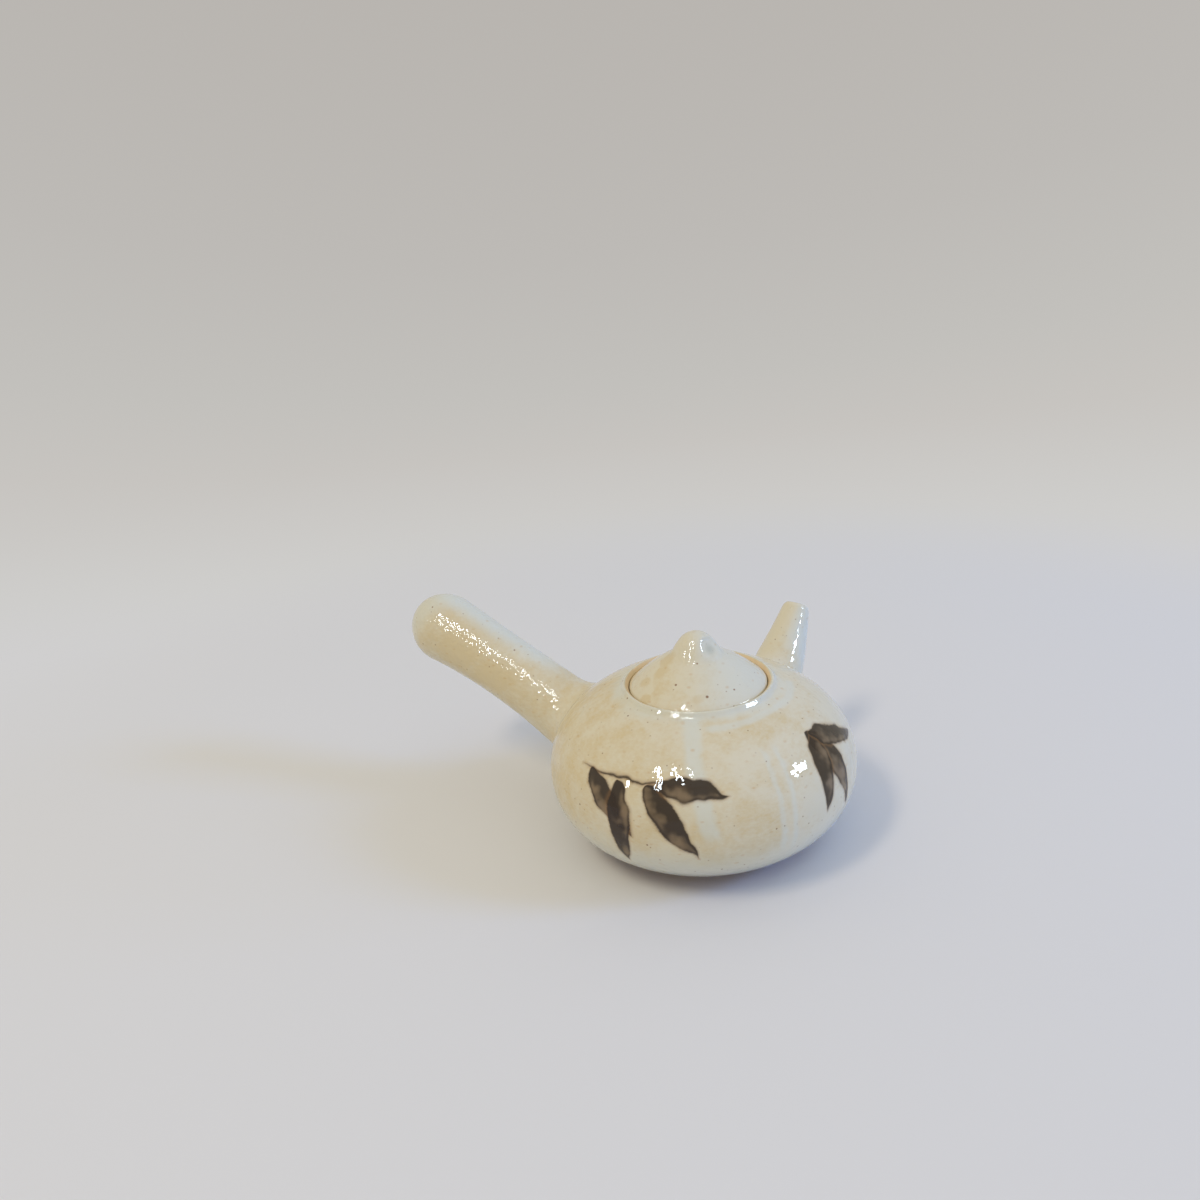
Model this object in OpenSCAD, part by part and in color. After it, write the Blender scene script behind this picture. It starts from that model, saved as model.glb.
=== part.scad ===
// Side-handled teapot: a thrown pot with a spout and a hollow handle luted on, and a lift-off lid.
// The origin is the centre of the foot on the table, +Z is up and the spout leans out along +X.

/* [Body] */
// Widest diameter of the pot, at the belly
body_d = 105; // [95:0.5:118]
// Height of the belly above the table
belly_h = 26; // [23:0.5:30]
// Height at which the shoulder meets the lid seat
neck_h = 54.6; // [50:0.1:60]
// Diameter of the flat underside
base_d = 72; // [66:0.5:78]
// Fullness of the shoulder curve, where 2 is an ellipse
shoulder_power = 2.19; // [2:0.01:2.4]
// Fullness of the curve below the belly, where 2 is an ellipse
under_power = 2.13; // [2:0.01:2.4]
// Thickness of the thrown wall
wall = 3.8; // [3:0.1:4.6]
// Thickness of the floor
floor_t = 4.6; // [3.6:0.1:6]

/* [Foot ring] */
// Height of the foot ring
foot_h = 3; // [2:0.1:4]
// Outer diameter of the foot ring
foot_d = 62; // [56:0.5:65]
// Width of the foot ring where it stands
foot_w = 5; // [4:0.1:7]
// Worn edge of the foot ring
foot_edge = 0.8; // [0.3:0.1:1.2]

/* [Lid seat] */
// Outer diameter of the ring that is joined to the shoulder
seat_d = 54; // [52:0.1:58]
// Inner diameter of the upright collar
collar_d = 47.2; // [46:0.1:48.5]
// Thickness of the rounded collar lip
lip_t = 2.4; // [1.8:0.1:2.6]
// Height of the collar lip above the shoulder
lip_rise = 1.9; // [1.5:0.1:3]
// Depth of the ledge below the lip
ledge_depth = 4.5; // [3.5:0.1:5]
// Thickness of the ledge
ledge_t = 3; // [2.4:0.1:4]
// Diameter of the throat inside the ledge
throat_d = 38.4; // [36:0.1:40]

/* [Lid] */
// Gap between the lid's edge and the collar
lid_gap = 1.15; // [0.5:0.05:1.5]
// Thickness of the lid's edge
lid_edge_t = 3.5; // [2.8:0.1:4.5]
// Height of the lid's dome if it ran to a point
lid_rise = 13.7; // [11:0.1:16]
// Fullness of the lid's dome, where 1 is a cone
lid_power = 1.5; // [1.3:0.05:1.9]
// Depth of the hollow under the lid
lid_hollow = 7.5; // [4:0.1:8.5]
// Diameter of the steam hole
vent_d = 2.6; // [1.5:0.1:3.5]
// Distance of the steam hole from the axis
vent_r = 13; // [12:0.1:14]

/* [Lid flange] */
// Gap between the flange and the throat
flange_gap = 0.6; // [0.4:0.05:1.2]
// Thickness of the flange
flange_t = 2.8; // [2:0.1:3.6]
// Depth of the flange below the ledge's face
flange_h = 8.5; // [6:0.1:10]
// Rounding of the flange's lower edge
flange_edge = 0.9; // [0.4:0.1:1]

/* [Knob] */
// Diameter of the knob where it spreads into the lid
knob_d = 19.2; // [17:0.1:21]
// Height of the knob
knob_h = 8.9; // [7:0.1:11]
// Diameter of the knob's waist, as its lower curve aims at it
knob_waist_d = 14.4; // [13:0.1:15.5]
// Diameter of the knob's crown, as its upper curve aims at it
knob_crown_d = 11.2; // [9:0.1:12.5]

/* [Spout] */
// Distance from the belly to the middle of the spout's tip, measured level
spout_reach = 18.3; // [14:0.1:22]
// Height of the middle of the spout's tip above the collar lip
spout_tip_up = 1.7; // [0:0.1:4]
// Slope of the spout at its tip, in degrees
spout_tip_slope = 55.8; // [50:0.1:62]
// Length over which the spout runs on before it bends to the belly
spout_run = 28; // [24:0.5:32]
// Height of the spout's root above the belly
spout_root_up = 1; // [-1:0.5:3]
// Depth of the spout's root behind the belly
spout_root_in = 12.5; // [11:0.5:14]
// Outer diameter of the spout's tip
spout_tip_d = 9.4; // [8.6:0.1:11]
// Outer diameter of the spout halfway
spout_mid_d = 19; // [17:0.1:21]
// Outer diameter of the spout's root
spout_root_d = 25; // [23:0.5:27]
// Wall of the spout at its tip
spout_tip_wall = 1.6; // [1.3:0.1:1.9]
// Wall of the spout at its root
spout_root_wall = 3; // [2.4:0.1:3.4]
// Diameter of the hole through the pot's wall behind the spout
spout_hole_d = 16; // [13:0.5:17]

/* [Strainer] */
// Outer diameter of the strainer dome
strainer_d = 25; // [23:0.5:27]
// Thickness of the strainer dome
strainer_t = 2.2; // [1.8:0.1:2.6]
// Diameter of the strainer holes
strainer_hole_d = 2.2; // [1.4:0.1:2.6]
// Rings of holes round the middle hole
strainer_rings = 2; // [1:1:2]
// Holes in the first ring
ring_holes = 6; // [4:1:7]
// Angle between the rings of holes, in degrees
strainer_step = 24; // [20:1:28]

/* [Handle] */
// Angle from the spout to the handle, seen from above, in degrees
handle_turn = 96; // [85:1:110]
// Slope of the handle, in degrees
handle_slope = 26.7; // [22:0.1:30]
// Height of the handle's line above the belly, where it crosses the belly
handle_up = 4.4; // [2:0.1:7]
// Length of the handle from the belly to its end, along its slope
handle_len = 76; // [65:0.5:85]
// Depth of the handle's root behind the belly, measured level
handle_root_in = 15; // [13:0.5:17]
// Diameter of the handle at its root
handle_root_d = 28.8; // [26:0.1:30]
// Diameter of the handle at its middle
handle_mid_d = 23.6; // [21:0.1:26]
// Diameter of the handle before its rounded end
handle_end_d = 26.2; // [23:0.1:28]
// Length of the rounded end
handle_dome = 14.3; // [11:0.1:17]
// Rise of the handle's arch at its middle
handle_arch = 3; // [0:0.1:5]
// Wall of the hollow handle
handle_wall = 3.2; // [2.6:0.1:4]
// Diameter of the air hole under the handle
air_hole_d = 2.5; // [1.5:0.1:3.5]
// Distance of the air hole from the belly, along the handle
air_hole_at = 16; // [12:0.5:22]

/* [Luted seams] */
// Reach of the smoothed coil along the handle
handle_seam_l = 10; // [7:0.5:13]
// Spread of that coil over the pot's wall
handle_seam_w = 4; // [2.5:0.1:5]
// Reach of the smoothed coil along the spout
spout_seam_l = 7; // [5:0.5:9]
// Spread of that coil over the pot's wall
spout_seam_w = 3; // [2:0.1:4]
// Thickness at which either coil is feathered out
seam_feather = 0.4; // [0.3:0.05:0.6]

/* [Hidden] */

glaze = [0.92, 0.88, 0.77];
bare_clay = [0.80, 0.63, 0.45];

// Steps along each quarter of the pot's outline
curve_steps = 24;
// Steps round the collar lip
lip_steps = 12;
// Steps along the lid's top and along its hollow
lid_steps = 14;
// Steps along the knob's outline
knob_steps = 20;
// Sides of a swept tube
tube_sides = 36;
// Rings along a swept tube
tube_rings = 18;
// Rings along the rounded end of the handle
dome_rings = 7;
// Angle round the rounded end at which its last ring lies, short of the 90 degrees of its pole
dome_last = 84;
// Rings along a smoothed coil
seam_rings = 5;
// Halvings used to find where a line leaves the pot
search_steps = 22;
// Length by which a cut runs past what it cuts
past = 1;
// Length by which a smoothed coil runs into the wall before it is cut there
seam_bury = 0.6;

body_r = body_d / 2;
seat_r = seat_d / 2;
collar_r = collar_d / 2;
throat_r = throat_d / 2;

// Fraction of a curve's far size left at the fraction h of its near size
function arch(h, power) = pow(1 - pow(h, power), 1 / power);

// Heights of the whole shoulder and underside curves, of which the pot uses a part
shoulder_h = (neck_h - belly_h) / arch(seat_r / body_r, shoulder_power);
under_h = (belly_h - foot_h) / arch(base_d / 2 / body_r, under_power);

floor_z = foot_h + floor_t;
lip_z = neck_h + lip_rise;
ledge_z = lip_z - ledge_depth;

// Point of the wall at the angle a above the belly, moved in by the depth t
function upper_point(a, t) = [
    (body_r - t) * pow(cos(a), 2 / shoulder_power),
    belly_h + (shoulder_h - t) * pow(sin(a), 2 / shoulder_power),
];

// Point of the wall at the angle a below the belly, moved in by the depth t
function lower_point(a, t) = [
    (body_r - t) * pow(cos(a), 2 / under_power),
    belly_h - (under_h - t) * pow(sin(a), 2 / under_power),
];

// Angle at which the wall, moved in by t, reaches the seat's radius
function neck_angle(t) = acos(pow(seat_r / (body_r - t), shoulder_power / 2));

// Angle at which the wall, moved in by t, reaches the height z below the belly
function floor_angle(z, t) = asin(pow((belly_h - z) / (under_h - t), under_power / 2));

// Outline of the wall from the height z up to the seat, moved in by t
function wall_line(z, t) = concat(
    [for (i = [curve_steps:-1:1]) lower_point(floor_angle(z, t) * i / curve_steps, t)],
    [for (i = [0:curve_steps]) upper_point(neck_angle(t) * i / curve_steps, t)]
);

function reversed(list) = [for (i = [len(list) - 1:-1:0]) list[i]];

outer_line = wall_line(foot_h, 0);
inner_line = wall_line(floor_z, wall);
inner_neck_z = upper_point(neck_angle(wall), wall)[1];

// How far out a point lies: under 1 inside the pot's outer surface, over 1 outside it
function outness(p) =
    let (r = norm([p[0], p[1]]) / body_r)
    let (up = p[2] > belly_h)
    let (h = up ? (p[2] - belly_h) / shoulder_h : (belly_h - p[2]) / under_h)
    let (power = up ? shoulder_power : under_power)
    pow(r, power) + pow(h, power);

// Direction out of the pot's outer surface at the point p
function wall_normal(p) =
    let (r = norm([p[0], p[1]]))
    let (up = p[2] > belly_h)
    let (size = up ? shoulder_h : under_h)
    let (power = up ? shoulder_power : under_power)
    let (level = pow(r / body_r, power - 1) / body_r)
    let (upright = pow(abs(p[2] - belly_h) / size, power - 1) / size)
    let (n = [level * p[0] / r, level * p[1] / r, up ? upright : -upright])
    n / norm(n);

module turned(points) {
    rotate_extrude($fn = 96)
        polygon(points);
}

// The pot's outer form as one lump, for cutting what is luted on
module pot_form() {
    turned(concat([[0, foot_h]], outer_line, [[0, neck_h]]));
}

// The room inside the pot, for trimming what is fixed to its inner wall
module pot_room() {
    turned(concat([[0, floor_z]], inner_line, [[0, inner_neck_z]]));
}

// Radius that runs smoothly from root to end and is mid halfway
function swell(root, mid, end, v) =
    root * (1 - v) * (1 - v) + (4 * mid - root - end) * v * (1 - v) + end * v * v;

// Spout axis, a curve in the plane of X and Z
spout_root = [body_r - spout_root_in, belly_h + spout_root_up];
spout_tip = [body_r + spout_reach, lip_z + spout_tip_up];
spout_bend = spout_tip - spout_run * [cos(spout_tip_slope), sin(spout_tip_slope)];
spout_root_dir = (spout_bend - spout_root) / norm(spout_bend - spout_root);

function spout_axis(t) =
    (1 - t) * (1 - t) * spout_root + 2 * t * (1 - t) * spout_bend + t * t * spout_tip;
function spout_slope(t) =
    let (d = (1 - t) * (spout_bend - spout_root) + t * (spout_tip - spout_bend))
    atan2(d[1], d[0]);
function spout_r(t) = swell(spout_root_d / 2, spout_mid_d / 2, spout_tip_d / 2, t);
function spout_wall(t) = (1 - t) * spout_root_wall + t * spout_tip_wall;
spout_axis_l = norm(spout_bend - spout_root) + spout_run;

// Handle axis, drawn in the plane of X and Z and then turned to its place
handle_dir = [cos(handle_slope), sin(handle_slope)];
handle_side = [-sin(handle_slope), cos(handle_slope)];
handle_buried = handle_root_in / cos(handle_slope);
handle_l = handle_buried + handle_len;

function handle_axis(t) =
    [body_r, belly_h + handle_up]
    + (t * handle_l - handle_buried) * handle_dir
    + 4 * t * (1 - t) * handle_arch * handle_side;
function handle_tilt(t) =
    handle_slope + atan(4 * (1 - 2 * t) * handle_arch / handle_l);
// Fraction of the handle at which its rounded end begins
dome_t = 1 - handle_dome / handle_l;
function handle_r(t) =
    t <= dome_t ? swell(handle_root_d / 2, handle_mid_d / 2, handle_end_d / 2, t / dome_t)
    : handle_end_d / 2 * sqrt(max(0, 1 - pow((t - dome_t) / (1 - dome_t), 2)));

// Fractions along the handle: even rings on the grip, then rings that follow its rounded end
handle_steps = concat(
    [for (i = [0:tube_rings]) dome_t * i / tube_rings],
    [for (i = [1:dome_rings]) dome_t + (1 - dome_t) * sin(dome_last * i / dome_rings)]
);
spout_steps = [for (i = [0:tube_rings]) i / tube_rings];

// Direction out of a tube that climbs at the slope s, at the angle a round it
function side_dir(s, a) = [-sin(a) * sin(s), cos(a), sin(a) * cos(s)];
// Point on a tube round an axis point c
function tube_point(c, s, r, a) = [c[0], 0, c[1]] + r * side_dir(s, a);
function side_angle(i) = 360 * i / tube_sides;
function spout_point(t, r, a) = tube_point(spout_axis(t), spout_slope(t), r, a);
function handle_point(t, r, a) = tube_point(handle_axis(t), handle_tilt(t), r, a);

// Skin of triangles over rings of points, closed by a fan at each end
module skin(rings) {
    count = len(rings);
    sides = len(rings[0]);
    middle = [centre(rings[0]), centre(rings[count - 1])];
    points = concat([for (ring = rings) each ring], middle);
    first = count * sides;
    last = first + 1;
    faces = concat(
        [for (k = [0:count - 2]) for (i = [0:sides - 1]) each quad(k, i, sides)],
        [for (i = [0:sides - 1]) [first, i, (i + 1) % sides]],
        [for (i = [0:sides - 1])
            [last, (count - 1) * sides + (i + 1) % sides, (count - 1) * sides + i]]
    );
    polyhedron(points, faces);
}
function centre(ring) = [for (k = [0:2]) ring_sum(ring, k, 0) / len(ring)];
function ring_sum(ring, k, i) = i == len(ring) ? 0 : ring[i][k] + ring_sum(ring, k, i + 1);
function quad(k, i, sides) =
    let (j = (i + 1) % sides)
    [
        [k * sides + i, (k + 1) * sides + i, (k + 1) * sides + j],
        [k * sides + i, (k + 1) * sides + j, k * sides + j],
    ];

module body() {
    color(glaze)
        difference() {
            turned(concat([[0, foot_h]], outer_line, reversed(inner_line), [[0, floor_z]]));
            spout_hole();
        }
}

// Round hole through the pot's wall, along the root of the spout
module spout_hole() {
    hole_l = 2 * strainer_d;
    translate([strainer_centre[0], 0, strainer_centre[1]])
        rotate([0, 90 - atan2(spout_root_dir[1], spout_root_dir[0]), 0])
            translate([0, 0, -hole_l / 4])
                cylinder(h = hole_l, d = spout_hole_d, $fn = 64);
}

module foot_ring() {
    inner = foot_d / 2 - foot_w;
    outer = foot_d / 2;
    color(bare_clay)
        turned([
            [inner, foot_h],
            [inner, foot_edge],
            [inner + foot_edge, 0],
            [outer - foot_edge, 0],
            [outer, foot_edge],
            [outer, foot_h],
        ]);
}

module lid_seat() {
    lip_r = lip_t / 2;
    lip_c = [collar_r + lip_r, lip_z - lip_r];
    color(glaze)
        turned(concat(
            [[seat_r, inner_neck_z], [seat_r, neck_h]],
            [for (i = [0:lip_steps]) lip_c + lip_r * [cos(180 * i / lip_steps), sin(180 * i / lip_steps)]],
            [
                [collar_r, ledge_z],
                [throat_r, ledge_z],
                [throat_r, ledge_z - ledge_t],
            ]
        ));
}

module spout() {
    color(glaze)
        difference() {
            spout_form();
            spout_bore();
            pot_form();
        }
}

// Solid form of the spout
module spout_form() {
    skin([for (t = spout_steps)
        [for (i = [0:tube_sides - 1]) spout_point(t, spout_r(t), side_angle(i))]]);
}

// Channel of the spout, which runs past the tip
module spout_bore() {
    over = past / spout_axis_l;
    skin([for (t = concat(spout_steps, [1 + over]))
        [for (i = [0:tube_sides - 1]) spout_point(t, spout_r(t) - spout_wall(t), side_angle(i))]]);
}

// Centre of the strainer, where the spout's root meets the inner wall
strainer_centre = spout_root
    + spout_root_dir * (body_r - wall - spout_root[0]) / spout_root_dir[0];

module strainer() {
    centre = [strainer_centre[0], 0, strainer_centre[1]];
    color(bare_clay)
        intersection() {
            pot_room();
            translate(centre)
                rotate([0, -90 - atan2(spout_root_dir[1], spout_root_dir[0]), 0])
                    difference() {
                        sphere(d = strainer_d, $fn = 64);
                        sphere(d = strainer_d - 2 * strainer_t, $fn = 64);
                        strainer_holes();
                    }
        }
}

// Middle hole and rings that each gain as many holes as the first ring has, pointing out of the dome
module strainer_holes() {
    for (ring = [0:strainer_rings])
        for (i = [0:max(0, ring_holes * ring - 1)])
            rotate([0, 0, ring == 0 ? 0 : 360 * i / (ring_holes * ring)])
                rotate([0, strainer_step * ring, 0])
                    translate([0, 0, strainer_d / 2 - strainer_t - past])
                        cylinder(h = strainer_t + 2 * past, d = strainer_hole_d, $fn = 24);
}

module handle() {
    color(glaze)
        rotate([0, 0, handle_turn])
            difference() {
                handle_form(0);
                handle_form(handle_wall);
                pot_form();
                air_hole();
            }
}

// Solid form of the handle, moved in by the wall t
module handle_form(t) {
    shrink = 1 - 2 * t / handle_end_d;
    skin([for (k = handle_steps)
        let (at = k <= dome_t ? k : dome_t + (k - dome_t) * shrink)
        [for (i = [0:tube_sides - 1])
            handle_point(at, k <= dome_t ? handle_r(k) - t : handle_r(k) * shrink, side_angle(i))]]);
}

// Air hole through the underside of the handle, near its root
module air_hole() {
    at = (handle_buried + air_hole_at) / handle_l;
    c = handle_axis(at);
    translate([c[0], 0, c[1] - handle_root_d])
        cylinder(h = handle_root_d, d = air_hole_d, $fn = 32);
}

// Fraction along the side line of a tube, seam_feather proud of it, at which it leaves the pot
function spout_exit(a, low = 0, high = 1, n = search_steps) =
    let (t = (low + high) / 2)
    n == 0 ? t
    : outness(spout_point(t, spout_r(t) + seam_feather, a)) < 1 ? spout_exit(a, t, high, n - 1)
    : spout_exit(a, low, t, n - 1);
function handle_exit(a, low = 0, high = dome_t, n = search_steps) =
    let (t = (low + high) / 2)
    n == 0 ? t
    : outness(handle_point(t, handle_r(t) + seam_feather, a)) < 1 ? handle_exit(a, t, high, n - 1)
    : handle_exit(a, low, t, n - 1);

// Point on the wall, or just under it, at the distance w from p along the direction out
function wall_foot(p, out, w) =
    let (n = wall_normal(p))
    let (along = out - (out * n) * n)
    p + w * along / norm(along) - seam_bury * n;

// Point at the fraction v of a smoothed coil's side, from a on the tube, round the corner b, to c on the wall
function coil_point(a, b, c, v) = (1 - v) * (1 - v) * a + 2 * v * (1 - v) * b + v * v * c;

module spout_seam() {
    reach = spout_seam_l / spout_axis_l;
    sides = [for (i = [0:tube_sides - 1])
        let (a = side_angle(i))
        let (at = spout_exit(a))
        let (out = at + reach)
        let (corner = spout_point(at, spout_r(at) + seam_feather, a))
        [
            spout_point(out, spout_r(out) + seam_feather, a),
            corner,
            wall_foot(corner, side_dir(spout_slope(at), a), spout_seam_w),
        ]];
    color(glaze)
        difference() {
            coil(sides);
            spout_form();
            pot_form();
        }
}

// Solid inside a smoothed coil, from the three points of each of its sides
module coil(sides) {
    skin([for (k = [seam_rings:-1:0])
        [for (side = sides) coil_point(side[0], side[1], side[2], k / seam_rings)]]);
}

module handle_seam() {
    reach = handle_seam_l / handle_l;
    sides = [for (i = [0:tube_sides - 1])
        let (a = side_angle(i))
        let (at = handle_exit(a))
        let (out = at + reach)
        let (corner = handle_point(at, handle_r(at) + seam_feather, a))
        [
            handle_point(out, handle_r(out) + seam_feather, a),
            corner,
            wall_foot(corner, side_dir(handle_tilt(at), a), handle_seam_w),
        ]];
    color(glaze)
        rotate([0, 0, handle_turn])
            difference() {
                coil(sides);
                handle_form(0);
                pot_form();
            }
}

lid_r = collar_r - lid_gap;
knob_r = knob_d / 2;
flange_outer_r = throat_r - flange_gap;
flange_inner_r = flange_outer_r - flange_t;
// Height of the lid's top face at the radius r
function lid_top(r) = ledge_z + lid_edge_t + lid_rise * (1 - pow(r / lid_r, lid_power));
// Height of the hollow under the lid at the radius r
function lid_under(r) = ledge_z + lid_hollow * (1 - pow(r / flange_inner_r, lid_power));

module lid() {
    color(glaze)
        difference() {
            turned(concat(
                [[lid_r, ledge_z]],
                [for (i = [0:lid_steps]) let (r = lid_r + (knob_r - lid_r) * i / lid_steps) [r, lid_top(r)]],
                [[0, lid_top(knob_r)]],
                [for (i = [0:lid_steps]) let (r = flange_inner_r * i / lid_steps) [r, lid_under(r)]]
            ));
            translate([vent_r, 0, ledge_z - past])
                cylinder(h = lid_edge_t + lid_rise + 2 * past, d = vent_d, $fn = 32);
        }
}

module lid_flange() {
    color(bare_clay)
        turned([
            [flange_inner_r, ledge_z],
            [flange_inner_r, ledge_z - flange_h + flange_edge],
            [flange_inner_r + flange_edge, ledge_z - flange_h],
            [flange_outer_r - flange_edge, ledge_z - flange_h],
            [flange_outer_r, ledge_z - flange_h + flange_edge],
            [flange_outer_r, ledge_z],
        ]);
}

// Knob outline from the lid's top to the crown, a smooth curve aimed at the waist and the crown
function knob_line(t) =
    let (foot = [knob_r, 0])
    let (waist = [knob_waist_d / 2, (knob_r - knob_waist_d / 2) * lid_slope])
    let (crown = [knob_crown_d / 2, knob_h])
    let (top = [0, knob_h])
    pow(1 - t, 3) * foot + 3 * t * pow(1 - t, 2) * waist + 3 * t * t * (1 - t) * crown + t * t * t * top;
// Steepness of the lid's dome at the knob
lid_slope = lid_rise * lid_power * pow(knob_r / lid_r, lid_power - 1) / lid_r;

module knob() {
    color(glaze)
        translate([0, 0, lid_top(knob_r)])
            turned(concat(
                [[0, 0]],
                [for (i = [0:knob_steps]) knob_line(i / knob_steps)]
            ));
}

body();
foot_ring();
lid_seat();
spout();
spout_seam();
strainer();
handle();
handle_seam();
lid();
lid_flange();
knob();
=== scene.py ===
"""Side-handled teapot: thrown and luted meshes, a cream ash glaze with brushed leaves, and a pale studio."""

import logging
import math
from abc import ABC, abstractmethod
from dataclasses import dataclass, field
from enum import Enum
from typing import Any, Callable, Optional, Sequence, Union

import bmesh
import bpy
from mathutils import Matrix, Quaternion, Vector, noise


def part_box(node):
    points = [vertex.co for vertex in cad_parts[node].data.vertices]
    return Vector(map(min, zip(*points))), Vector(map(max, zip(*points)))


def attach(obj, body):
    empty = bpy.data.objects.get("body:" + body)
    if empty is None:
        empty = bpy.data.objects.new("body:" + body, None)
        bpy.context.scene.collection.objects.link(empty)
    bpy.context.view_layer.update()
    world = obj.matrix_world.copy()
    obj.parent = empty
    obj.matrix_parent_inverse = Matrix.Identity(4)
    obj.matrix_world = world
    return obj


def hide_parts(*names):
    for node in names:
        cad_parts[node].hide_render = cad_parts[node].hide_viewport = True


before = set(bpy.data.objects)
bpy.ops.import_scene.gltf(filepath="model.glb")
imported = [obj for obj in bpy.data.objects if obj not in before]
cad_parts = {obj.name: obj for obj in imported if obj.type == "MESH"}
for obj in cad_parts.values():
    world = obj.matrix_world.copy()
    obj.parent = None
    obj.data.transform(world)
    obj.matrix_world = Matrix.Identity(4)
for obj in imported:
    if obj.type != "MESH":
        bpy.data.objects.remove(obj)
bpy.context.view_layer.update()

LOG = logging.getLogger("teapot")

MM = 0.001
Colour = tuple[float, float, float, float]
Outline = list[tuple[float, float]]
Ring = list[Vector]
Socket = bpy.types.NodeSocket
Material = bpy.types.Material
Piece = bpy.types.Object


class Slot(Enum):
    """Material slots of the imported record."""

    CREAM_GLAZE = "cream_glaze"
    INSIDE_GLAZE = "inside_glaze"
    BARE_CLAY = "bare_clay"


class Rider(Enum):
    """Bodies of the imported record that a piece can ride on."""

    POT = "pot"
    LID = "lid"


def screen(red: float, green: float, blue: float) -> Colour:
    """Turns a colour as a screen shows it into the linear colour that shaders take.

    Args:
        red: Red from 0 to 255.
        green: Green from 0 to 255.
        blue: Blue from 0 to 255.

    Returns:
        The linear colour with full alpha.
    """
    linear = []
    for level in (red / 255, green / 255, blue / 255):
        linear.append(level / 12.92 if level <= 0.04045 else ((level + 0.055) / 1.055) ** 2.4)
    return (linear[0], linear[1], linear[2], 1.0)


def box_mm(node: str) -> tuple[Vector, Vector]:
    """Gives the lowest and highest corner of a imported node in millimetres."""
    low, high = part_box(node)
    return low / MM, high / MM


def arc(centre: tuple[float, float], radius: float, first: float, last: float, steps: int) -> Outline:
    """Draws a round stretch of an outline.

    Args:
        centre: Middle of the arc as (radius, height).
        radius: Radius of the arc.
        first: Angle at which it starts, in degrees.
        last: Angle at which it ends, in degrees.
        steps: Number of steps along it.

    Returns:
        The points of the arc, both ends included.
    """
    angles = [math.radians(first + (last - first) * i / steps) for i in range(steps + 1)]
    return [(centre[0] + radius * math.cos(a), centre[1] + radius * math.sin(a)) for a in angles]


def bezier(controls: Sequence[Vector], t: float) -> Vector:
    """Finds a point of a smooth curve by repeated steps between its controls.

    Args:
        controls: Control points of the curve.
        t: Fraction of the curve.

    Returns:
        The point.
    """
    points = list(controls)
    while len(points) > 1:
        points = [a.lerp(b, t) for a, b in zip(points, points[1:])]
    return points[0]


def swell(root: float, middle: float, end: float, v: float) -> float:
    """Runs smoothly from root to end and passes middle halfway."""
    return root * (1 - v) ** 2 + (4 * middle - root - end) * v * (1 - v) + end * v * v


def crossing(inside: Callable[[float], bool], low: float, high: float, halvings: int = 24) -> float:
    """Finds by halving where a line leaves the pot.

    Args:
        inside: Tells whether the line is inside the outer wall at a number.
        low: Number at which it is inside.
        high: Number at which it is outside.
        halvings: Steps of the search.

    Returns:
        The last number at which it was found inside.
    """
    for _ in range(halvings):
        middle = (low + high) / 2
        if inside(middle):
            low = middle
        else:
            high = middle
    return low


def rounded_ring(inner: float, outer: float, low: float, top: float, edge: float) -> Outline:
    """Draws the section of a ring whose lower edges are rounded.

    Args:
        inner: Inner radius.
        outer: Outer radius.
        low: Height of the lower face.
        top: Height of the upper face.
        edge: Radius of the rounded edges.

    Returns:
        The closed outline.
    """
    outline = [(inner, top)]
    outline += arc((inner + edge, low + edge), edge, 180, 270, 6)
    outline += arc((outer - edge, low + edge), edge, 270, 360, 6)
    return outline + [(outer, top), (inner, top)]


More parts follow.
